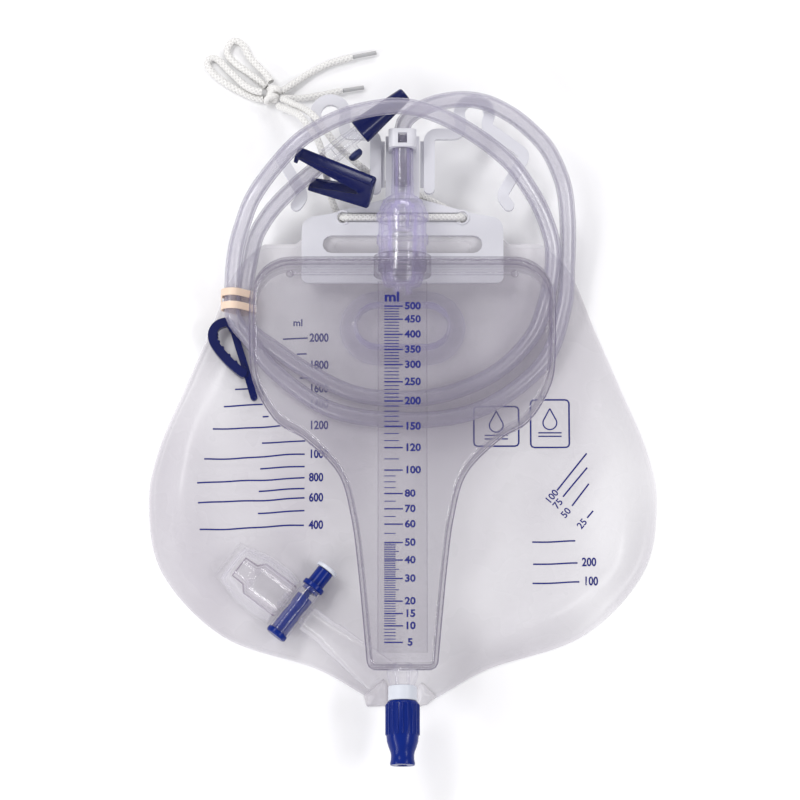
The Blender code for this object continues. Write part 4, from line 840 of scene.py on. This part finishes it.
def meter_outline():
    """The chamber's outline: wide top, round shoulders and a narrow column."""
    wide, foot = METER_HALF_WIDTH, METER_FOOT_HALF_WIDTH
    corner = arc(wide - METER_CORNER, METER_TOP - METER_CORNER, METER_CORNER, 90, 0, 16)
    side = smooth([
        (wide, METER_TOP - 50 * MM), (wide - 2.6 * MM, METER_TOP - 74 * MM),
        (wide - 15.6 * MM, METER_TOP - 96.7 * MM), (foot + 38 * MM, METER_TOP - 107.7 * MM),
        (foot + 17.5 * MM, METER_TOP - 128.7 * MM), (foot + 9.5 * MM, METER_TOP - 155 * MM),
        (foot + 5 * MM, METER_BOTTOM + 57.6 * MM), (foot, METER_BOTTOM + 4 * MM)], 12)
    base = arc(foot - 4 * MM, METER_BOTTOM + 4 * MM, 4 * MM, -10, -90, 8)
    top = [Vector((0.0, METER_TOP))]
    return mirrored(top + corner + side + base + [Vector((0.0, METER_BOTTOM))])


def depth_ratio(y):
    """The chamber is deep at the top and shallow in the column."""
    return 0.54 + 0.46 * ease(y, -34 * MM, 36 * MM)


def front_level(y):
    return AXIS_Z + METER_HALF_DEPTH * depth_ratio(y)


def shell_rings(outline, wall, side):
    """Rings of one skin of the shell: up its wall, round its edge and in to the middle line."""
    rings = []
    half = METER_HALF_DEPTH - wall
    round_in, round_deep = 3.6 * MM - wall * 0.5, 5 * MM - wall
    steps = [(0.0, half * 0.12), (0.0, half * 0.5), (0.0, half - round_deep)]
    for i in range(1, 7):
        angle = math.pi / 2 * i / 6
        steps.append((round_in * (1 - math.cos(angle)), half - round_deep * (1 - math.sin(angle))))
    for inward, level in steps:
        flat = inset(outline, wall + inward)
        rings.append([Vector((p.x, p.y, AXIS_Z + side * level * depth_ratio(p.y))) for p in flat])
    flat = inset(outline, wall + round_in)
    for i in range(1, 9):
        share = 1 - i / 8
        rings.append([Vector((p.x * share, p.y, AXIS_Z + side * half * depth_ratio(p.y))) for p in flat])
    return rings


def build_shell(name, node, side):
    """One moulded half of the chamber with real wall thickness and its seam lip, which light passes."""
    outline = evenly(meter_outline(), 2.4 * MM, True)
    seam = AXIS_Z + side * 0.15 * MM
    work = bmesh.new()
    lip = level(inset(outline, -SEAM_LIP), seam)
    start = closed_ring(work, lip)
    ring = next_ring(work, start, [p + Vector((0, 0, side * SEAM_LIP)) for p in lip])
    ring = next_ring(work, ring, level(outline, seam + side * SEAM_LIP))
    for points in shell_rings(outline, 0.0, side):
        ring = next_ring(work, ring, points)
    ring = next_ring(work, start, level(inset(outline, METER_WALL), seam))
    for points in shell_rings(outline, METER_WALL, side):
        ring = next_ring(work, ring, points)
    bmesh.ops.remove_doubles(work, verts=work.verts, dist=0.002 * MM)
    bmesh.ops.dissolve_degenerate(work, edges=work.edges, dist=0.002 * MM)
    shell = new_piece(name, work, CHAMBER, replaced=(node,), sharp=50)
    shell.visible_shadow = False


def build_chamber_seam():
    """The welded bead round the chamber's seam, and a dark line just inside the shell's inner wall, painted
    shade of the line that the wall draws.
    """
    outline = evenly(meter_outline(), 2.4 * MM, True)
    # The second bead is painted shade: a dark line where the shell's inner wall shows through.
    for name, distance, radius in (("seam_bead", -0.8, 0.42), ("inner_wall_shade_line", 1.7, 0.22)):
        path = level(inset(outline, distance * MM), AXIS_Z)
        bead(name, path, radius * MM, SEAM, closed=True)


def build_chamber_boss():
    """The round seat that holds the drip bowl in the chamber's mouth."""
    profile = [(17.3, 101.5), (17.4, 101), (17.4, 90.4), (17, 90), (12.9, 90), (12.9, 93.3), (14.7, 93.3),
               (14.7, 101.2), (15, 101.5)]
    spun("chamber_boss", profile, CHAMBER, "chamber_plastic", loop=True)


def build_scale_strip():
    """The raised strip that carries the scale."""
    half = STRIP_HALF_WIDTH
    low, high = METER_BOTTOM + 8 * MM, 82 * MM
    work = bmesh.new()
    count = 48
    rows = [low + (high - low) * i / count for i in range(count + 1)]
    section = [(-half, -0.5 * MM), (-half, STRIP_RISE * 0.6), (-half + 0.4 * MM, STRIP_RISE)]
    section += [(-half + 0.8 * MM, STRIP_RISE), (half - 0.8 * MM, STRIP_RISE)]
    section += [(-x, z) for x, z in reversed(section[:3])]
    ring = closed_ring(work, [Vector((x, rows[0], front_level(rows[0]) + z)) for x, z in section])
    work.faces.new(ring[0])
    for y in rows[1:]:
        ring = next_ring(work, ring, [Vector((x, y, front_level(y) + z)) for x, z in section])
    work.faces.new(ring[0])
    new_piece("scale_strip", work, CHAMBER, sharp=20)


def build_chamber_rib():
    """The rib along the chamber's top with a round knob at each end."""
    y = METER_TOP - 11.8 * MM
    z = AXIS_Z + METER_HALF_DEPTH
    half = 67 * MM
    work = flat_mesh(tube_curve("chamber_rib", [Vector((-half, y, z)), Vector((half, y, z))], 1 * MM, 4))
    for x in (-half, half):
        matrix = Matrix.Translation((x, y, z)) @ Matrix.Diagonal((1, 1, 0.6, 1))
        bmesh.ops.create_uvsphere(work, u_segments=24, v_segments=12, radius=2.4 * MM, matrix=matrix)
    new_piece("chamber_rib", work, CHAMBER)


# Volume in millilitres and its height in millimetres
SCALE = ((500, 66.9), (450, 58.9), (400, 49.7), (350, 40.5), (300, 31.3), (250, 21.1), (200, 9.8),
         (150, -5.0), (120, -17.5), (100, -30.8), (80, -44.9), (70, -54.1), (60, -63.3), (50, -74.3),
         (40, -84.8), (30, -95.8), (20, -109.3), (15, -116.7), (10, -124.0), (5, -133.8), (0, -136.3))


def scale_level(volume):
    """The height of a volume on the chamber's scale."""
    for (high, y_high), (low, y_low) in zip(SCALE, SCALE[1:]):
        if low <= volume <= high:
            return (y_low + (y_high - y_low) * (volume - low) / (high - low)) * MM
    return SCALE[-1][1] * MM


def build_meter_print():
    """The chamber's fine scale: a line every 10 ml, every 5 ml below 100 and every 1 ml below 50."""
    def height(x, y):
        return front_level(y) + STRIP_RISE
    work = bmesh.new()
    left = -10.8 * MM
    named = {volume for volume, y in SCALE}
    volumes = list(range(100, 501, 10)) + list(range(50, 100, 5)) + list(range(5, 50))
    for volume in volumes:
        y = scale_level(volume)
        if volume in named:
            right = 0.2 * MM
        elif volume > 100 or volume < 50 and volume % 5 == 0:
            right = -2.1 * MM
        else:
            right = -4.1 * MM
        path = [Vector((left, y)), Vector(((left + right) / 2, y)), Vector((right, y))]
        stripe(work, path, (0.85 if volume in named else 0.5) * MM, height, CHAMBER_INK_LIFT)
    for volume, y in SCALE[:-1]:
        x = 1.3 * MM if volume >= 10 else 2.9 * MM
        words(work, str(volume), x, y * MM, 6 * MM, height, lift=CHAMBER_INK_LIFT, bold=DIGIT_BOLD, wide=1.06)
    words(work, "ml", -6.3 * MM, 72.4 * MM, 8 * MM, height, align="CENTER", lift=CHAMBER_INK_LIFT,
          bold=0.3 * MM, wide=1.15)
    new_piece("meter_print", work, INK, closed=False)


def build_drip_parts():
    """The domed cap, the drip chamber with its rings, the bowl and the flap."""
    cap = [(6.5, 179), (6.5, 152), (6.9, 139.6), (9, 138.3), (12.4, 135.6), (14.2, 131), (14.6, 128.6),
           (15.8, 128), (15.8, 124.3), (12.9, 124.3), (12.6, 130), (11, 133.5), (7.2, 135), (5.6, 119),
           (4, 119), (4.4, 139), (5.3, 141), (5.3, 179)]
    tube = [(14.4, 124), (14.4, 115.4), (15, 114.9), (15.6, 113.8), (15.6, 110), (15, 109), (14.4, 108.4),
            (14.4, 105.2), (14.7, 104.9), (14.7, 104.2), (14.4, 103.9), (14.4, 96.2), (12.9, 96.2),
            (12.9, 124)]
    bowl = [(14.4, 95.9), (14.4, 93.6), (12.6, 93.6), (12.6, 88), (11, 84), (5.6, 82.5), (5.6, 79), (4.2, 79),
            (4.2, 83.9), (9.6, 85.4), (11.2, 88.3), (11.2, 95.9)]
    for name, profile, node, edge in (("drip_cap_moulding", cap, "drip_cap", 0.25),
                                      ("drip_tube", tube, "drip_chamber", 0.15),
                                      ("drip_bowl_moulding", bowl, "drip_bowl", 0.25)):
        spun(name, profile, TINTED, "tinted_plastic", replaced=(node,), loop=True, edge=edge * MM)
    flap = [(0, 118.7), (6, 118.7), (6.4, 118.4), (6.4, 118.1), (6, 117.9), (0, 117.9)]
    spun("flap_disc", flap, SLEEVE, "flap_film", replaced=("reflux_flap",))


def build_outlet_parts():
    """The chamber's neck, collar, seal and ribbed twist valve."""
    moulded("neck_moulding", "outlet_nozzle", CLEAR, edge=0.2 * MM)
    moulded("collar_ring", "outlet_collar", WHITE, edge=0.3 * MM)
    moulded("seal_ring", "outlet_seal", SEAL, edge=0.2 * MM)
    profile = [(8.4, -167.3), (9.3, -168.2), (9.6, -169), (9.6, -187.3), (9.2, -191), (8.2, -194.4),
               (7.2, -197), (6.8, -199), (6.9, -201.5), (7.4, -204.2), (7.1, -205), (3, -205), (3, -178),
               (6.4, -177), (6.4, -167.3)]
    spun("twist_valve_body", profile, ROYAL, "blue_plastic", "twist_valve", ("outlet_twist_cap",), loop=True,
         steps=96)
    work = bmesh.new()
    count, radius, middle_y = 20, 9.3 * MM, -178.2 * MM
    rib = Matrix.Diagonal((1.7 * MM, 18.4 * MM, 1.3 * MM, 1))
    for i in range(count):
        angle = math.tau * i / count
        middle = Vector((radius * math.cos(angle), middle_y, AXIS_Z + radius * math.sin(angle)))
        matrix = Matrix.Translation(middle) @ Matrix.Rotation(-angle, 4, "Y") @ rib
        bmesh.ops.create_cube(work, size=1, matrix=matrix)
    ribs = new_piece("twist_valve_ribs", work, ROYAL, "twist_valve")
    soften(ribs, 0.5 * MM, 3)


def frame_corners(node):
    """The places of a CAD node's corners."""
    return [vertex.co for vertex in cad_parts[node].data.vertices]


def build_tap():
    """The drain tap: clear cross tube, blue plunger, collar, white end cap, spout and sleeve."""
    along, over = tap_axes()

    def turned(name, points, direction, material, **more):
        spun(name, points, material, "clear_plastic", origin=TAP_CENTRE, direction=direction, loop=True,
             **more)
    turned("tap_cross_tube", [(6.6, 15.6), (6.6, -16.5), (5.6, -16.5), (5.6, 15.6)], along, CLEAR,
           replaced=("tap_body",), edge=0.2 * MM)
    turned("tap_stub", [(4.2, 6.2), (4.2, 11), (3, 11), (3, 6.2)], over, CLEAR, edge=0.2 * MM)
    turned("tap_spigot", [(6, 6.2), (6, 9), (3, 9), (3, 6.2)], -over, CLEAR, edge=0.2 * MM)
    turned("tap_spout_moulding", [
        (6.5, 42.6), (6.9, 34.1), (10.9, 30.6), (10.9, 7.2), (6.4, 7.2), (6.4, 8.6), (9.5, 8.6), (9.5, 30),
        (5.5, 33.6), (5.1, 42.6)], over, SPOUT, replaced=("tap_spout",), edge=0.4 * MM, flatness=0.68)
    moulded("tap_retainer", "tap_collar", ROYAL, edge=0.4 * MM)
    knob_top = max((corner - TAP_CENTRE).dot(along) for corner in frame_corners("tap_piston")) / MM
    spool = [(0, knob_top), (5.2, knob_top), (5.2, 13.5), (2, 13.2), (2, 9.6), (5.3, 9.3), (5.3, 4), (4.9, 1),
             (4.9, -2), (5.3, -5), (5.3, -16.7), (6.6, -16.7), (6.6, -19.2), (5.8, -20), (0, -20)]
    spun("tap_plunger_spool", spool, ROYAL, "blue_plastic", "tap_plunger", ("tap_piston",), TAP_CENTRE,
         along, edge=0.3 * MM)
    # A dark bead round the spout's outline in its middle plane: painted shade where the spout's wall is seen
    # edge on.
    half = ((-10.9, 8), (-10.9, 30.6), (-6.9, 34.1), (-6.5, 42.4))
    rim = [along * x + over * y for x, y in half + tuple((-x, y) for x, y in reversed(half))]
    bead("tap_spout_shade_line", [TAP_CENTRE + p * MM for p in rim], 0.6 * MM, SPOUT_SHADE_LINE)
    moulded("tap_button", "tap_end_cap", WHITE, "tap_plunger", 0.25 * MM)
    moulded("drain_sleeve", "outlet_sleeve", SLEEVE, sharp=50)


def build_hanger():
    """The hanger's plate and column, the two hooks and the rims of the rope holes."""
    moulded("hanger_moulding", "hanger_plate", HANGER, edge=0.45 * MM)
    moulded("right_hook_moulding", "hook_right", HANGER, "right_hook", 0.5 * MM)
    moulded("left_hook_moulding", "hook_left", HANGER, "left_hook", 0.5 * MM)
    for side in (-1, 1):
        turn = 90 - 90 * side
        ring = arc(side * 36 * MM, 130.6 * MM, 4.1 * MM, turn - 130, turn + 130, 22)
        name = "rope_hole_rim_" + ("left" if side < 0 else "right")
        bead(name, level(ring, 20.1 * MM), 0.75 * MM, HANGER)


def build_fittings():
    """The clamp, clip, sampling port, connector, cap and band of the inlet tube."""
    clamp = moulded("clamp_moulding", "pinch_clamp", NAVY, edge=0.35 * MM)
    work = bmesh.new()
    work.from_mesh(clamp.data)
    for low, high, rim, depth in ((0.6, 1.0, 1.2, -1.2), (0.35, 0.6, 0.8, -0.9)):
        broad = [f for f in work.faces if f.calc_area() > 55 * MM * MM and low < abs(f.normal.z) <= high]
        bmesh.ops.inset_individual(work, faces=broad, thickness=rim * MM, depth=depth * MM,
                                   use_even_offset=True)
    work.to_mesh(clamp.data)
    work.free()
    clamp.data.set_sharp_from_angle(angle=math.radians(35))
    moulded("clip_moulding", "sheet_clip", NAVY, edge=0.4 * MM)
    moulded("port_moulding", "sampling_port", CLEAR, edge=0.3 * MM)
    moulded("septum_plug", "port_septum", SEPTUM, edge=0.3 * MM)
    moulded("connector_moulding", "catheter_connector", CLEAR, edge=0.2 * MM)
    moulded("connector_cap_moulding", "connector_cap", NAVY, "line_cap", 0.5 * MM)
    moulded("latex_band", "tube_band", BAND, edge=0.25 * MM)
    moulded("duct_moulding", "overflow_duct", DUCT, edge=0.3 * MM)


# Cords

INLET_ROUTE = mm(
    (0, 181, 38), (1.2, 185.5, 37.6), (5, 190, 36.8), (11, 194, 36.4), (18, 197, 36.6),
    (26, 198.8, 37.4), (38, 199.7, 38), (51.8, 197.1, 38), (65.6, 190.2, 37),
    (75.9, 182.2, 36), (86.3, 171.5, 34), (93.2, 159.4, 31), (98, 145.6, 27), (99.8, 128.8, 22.5),
    (100, 116, 19), (99.6, 103.2, 16), (97.5, 76, 12.8), (84, 41, 12.4), (46.5, 13.5, 12.4),
    (1.5, 6.7, 12.4), (-43.5, 13.5, 12.4), (-76.5, 36.5, 12.6), (-91, 54.5, 15.4),
    (-101.2, 67, 21), (-102.6, 77, 21.9), (-102.4, 87, 22.6), (-101.6, 99.3, 26.4), (-99.5, 112, 30.5),
    (-95.7, 123.8, 36), (-90.3, 136, 43.5), (-79.5, 149.4, 54), (-63.6, 165.5, 62), (-48.9, 175.2, 64),
    (-30.3, 183.6, 64), (-6.1, 188.4, 63), (10.5, 186.9, 61.5), (24.3, 182.6, 59.5), (38, 175.9, 56.5),
    (51.8, 167.6, 52), (65.6, 156.9, 46), (75.9, 144.3, 39), (82.8, 133.7, 33), (88.3, 120.8, 27.5),
    (90.9, 109.5, 23), (90.3, 96, 18), (86.4, 79, 13.2), (78, 58, 12.4), (57, 36.8, 12.4),
    (28, 23.5, 12.4), (0, 19.8, 12.4), (-30, 23.5, 12.4), (-58, 37.4, 12.4), (-79, 52, 12.6),
    (-92, 62, 13.4), (-95.3, 71.5, 13.8), (-95.3, 80, 13.8), (-94.9, 89, 14), (-92.5, 103, 17.5),
    (-88.5, 118, 24), (-79.5, 131, 32), (-67.3, 143, 37.5), (-55, 153.3, 40), (-45.3, 161.7, 42))


def build_inlet_tube():
    """The inlet tube with its real bore, from the socket round to the sampling port."""
    path = [Vector((0, 146, 38)) * MM] + evenly(smooth(INLET_ROUTE, 8), 4 * MM)
    curve = tube_curve("inlet_tube_wall", path, TUBE_RADIUS, 7, caps=False)
    work = flat_mesh(curve)
    tube = new_piece("inlet_tube_wall", work, TUBE, replaced=("inlet_tube",), closed=False,
                     sharp=80)
    thicken(tube, TUBE_WALL, -1)
    round(length_of(path), 3)


STRAND_A = mm(
    (36.9, 130.6, 14.4), (36.9, 130.6, 17.6), (34.4, 130.6, 21), (30, 130.6, 20.6), (0, 130.6, 20.6),
    (-30, 130.6, 20.6), (-34.4, 130.6, 21), (-36.9, 130.6, 17.6), (-36.9, 130.6, 13.6), (-39, 134.5, 10.6),
    (-42.5, 142, 13), (-45, 150.5, 21), (-47, 160, 28), (-49.3, 170.5, 33), (-53, 178, 35.4),
    (-58.6, 185.5, 35.8), (-62.8, 191.8, 31), (-69, 198, 19), (-75.8, 204.2, 7))
STRAND_B = mm(
    (36.9, 130.6, 14), (34.5, 134, 10.8), (25, 139, 11.4), (13, 145, 12), (0, 149, 13),
    (-11, 153.5, 14), (-22, 160, 19.3), (-33, 167.3, 27.3), (-42, 175, 34.2), (-48, 182.3, 37.8),
    (-53.6, 189.5, 37), (-59.2, 195.6, 30), (-66, 202, 18), (-73.3, 208.8, 7.4))
ROPE_ROUTES = {
    "rope_bow_upper": mm((-83.6, 217.3, 2.8), (-87.6, 221, 2.5), (-95, 227, 2.4), (-103.5, 233.4, 2.4),
                         (-107.8, 240, 2.4), (-104, 247, 2.4), (-98, 244.5, 2.4), (-94, 237, 2.4),
                         (-88.5, 230.5, 2.6), (-83.5, 225, 4.2), (-80.6, 219.9, 5.7)),
    "rope_bow_lower": mm((-85.2, 209.7, 3.1), (-90, 210.4, 2.6), (-97, 213.5, 2.4), (-107, 219, 2.4),
                         (-116, 226, 2.4), (-120, 233, 2.4), (-115, 236, 2.4), (-105, 226.4, 2.6),
                         (-97.5, 218.6, 4.6), (-91.4, 214.4, 6.3), (-86, 213.2, 6.4)),
    "rope_tail_upper": mm((-74.2, 214, 5), (-65, 220.6, 3.4), (-57.5, 226, 2.5), (-44.5, 232.7, 2.4),
                          (-30.6, 236.6, 2.4)),
    "rope_tail_lower": mm((-73.8, 210.5, 3.5), (-65, 210.3, 2.5), (-59.7, 210.7, 2.4), (-48.8, 212.6, 2.4),
                          (-36.8, 215.2, 2.4))}
BRAID_PITCH = 2.6 * MM


def rope(name, route, node, with_pieces=()):
    """One stretch of braided rope, its braid's turns counted from its real length."""
    path = evenly(smooth(route, 10), 2.5 * MM)
    length = length_of(path)
    obj = tube_curve(name, path, ROPE_RADIUS, 4)
    material = braided_cord(name + "_braid", round(length / BRAID_PITCH))
    dress(obj, material, replaced=(node,))


def build_knot():
    """The overhand knot: three turns of the rope laid round each other."""
    centre = Vector((-79.3, 211.6, 5.4)) * MM
    work = bmesh.new()
    for turn, tilt, radius, shift in ((20, 78, 3.3, -2.6), (48, 62, 3.1, 0.4), (-8, 80, 3.2, 3)):
        earlier = set(work.verts)
        section = Matrix.Translation((radius * MM, 0, 0)) @ Matrix.Rotation(math.pi / 2, 4, "X")
        verts = bmesh.ops.create_circle(work, segments=16, radius=1.9 * MM, cap_ends=False,
                                        matrix=section)["verts"]
        edges = list({e for v in verts for e in v.link_edges})
        bmesh.ops.spin(work, geom=verts + edges, cent=(0, 0, 0), axis=(0, 0, 1), angle=math.tau, steps=40,
                       use_merge=True)
        place = Matrix.Translation(centre + Vector((0.35 * shift, shift, 0)) * MM)
        tilted = Matrix.Rotation(math.radians(turn), 4, "Z") @ Matrix.Rotation(math.radians(tilt), 4, "X")
        bmesh.ops.transform(work, matrix=place @ tilted, verts=[v for v in work.verts if v not in earlier])
    for v in work.verts:
        v.co.z = max(v.co.z, 0.3 * MM)
    return new_piece("rope_knot_turns", work, KNOT, replaced=("rope_knot",), sharp=80)


def build_ropes():
    """The tips, the knot and the six stretches of rope."""
    moulded("upper_tip", "rope_tip_upper", TIP, edge=0.2 * MM)
    moulded("lower_tip", "rope_tip_lower", TIP, edge=0.2 * MM)
    rope("rope_strand_front", STRAND_A, "rope_sling", [build_knot()])
    rope("rope_strand_back", STRAND_B, "rope_sling")
    for name, node, far_end, with_pieces in (
            ("rope_bow_top", "rope_bow_upper", "knot", ()),
            ("rope_bow_side", "rope_bow_lower", "knot", ()),
            ("rope_tail_long", "rope_tail_upper", "fitting", ["upper_tip"]),
            ("rope_tail_short", "rope_tail_lower", "fitting", ["lower_tip"])):
        rope(name, ROPE_ROUTES[node], node, with_pieces)


# Stage

def build_stage():
    """A plain pale floor, soft studio light and the camera."""
    scene = bpy.context.scene
    work = bmesh.new()
    bmesh.ops.create_grid(work, x_segments=1, y_segments=1, size=6)
    mesh = bpy.data.meshes.new("floor")
    work.to_mesh(mesh)
    work.free()
    mesh.materials.append(pale_floor())
    floor = linked("floor", mesh)
    floor.location.z = -0.2 * MM
    world = bpy.data.worlds.new("studio")
    scene.world = world
    world.use_nodes = True
    background = world.node_tree.nodes["Background"]
    background.inputs["Color"].default_value = (0.98, 0.965, 1, 1)
    background.inputs["Strength"].default_value = 0.54
    for name, place, size, watts in (
            ("key", (-0.75, 0.55, 1.35), (0.7, 0.2), 7), ("fill", (0.95, -0.35, 1.2), (0.8, 0.2), 6),
            ("left_low", (-1.05, -0.8, 0.8), (1.5, 0.16), 10), ("top", (0.25, 1.3, 0.8), (0.9, 0.2), 5)):
        lamp = bpy.data.lights.new(name, "AREA")
        lamp.shape = "RECTANGLE"
        lamp.size, lamp.size_y = size
        lamp.energy = watts
        obj = linked(name, lamp)
        obj.location = place
        obj.rotation_euler = (-Vector(place)).to_track_quat("-Z", "Y").to_euler()
    elevation = math.radians(78)
    distance = 2.667
    target = Vector((-1.5, 17.6, 20)) * MM
    camera = bpy.data.cameras.new("camera")
    camera.lens = 200
    camera.sensor_width = 36
    camera.clip_end = 20
    obj = linked("camera", camera)
    obj.location = target + distance * Vector((0, -math.cos(elevation), math.sin(elevation)))
    obj.rotation_euler = (math.pi / 2 - elevation, 0, 0)
    scene.camera = obj
    scene.view_settings.view_transform = "Standard"
    scene.cycles.transparent_max_bounces = 32
    scene.cycles.max_bounces = 5


def main():
    build_stage()
    bag = build_bag()
    height = surface_under(bag)
    build_weld_lines(height)
    build_neck_folds(height)
    build_bag_print(height)
    build_pocket(height)
    build_shell("chamber_back", "meter_back_shell", -1)
    build_shell("chamber_front", "meter_front_shell", 1)
    build_chamber_seam()
    build_chamber_boss()
    build_scale_strip()
    build_chamber_rib()
    build_meter_print()
    build_drip_parts()
    build_outlet_parts()
    build_tap()
    build_hanger()
    build_fittings()
    build_inlet_tube()
    build_ropes()


main()
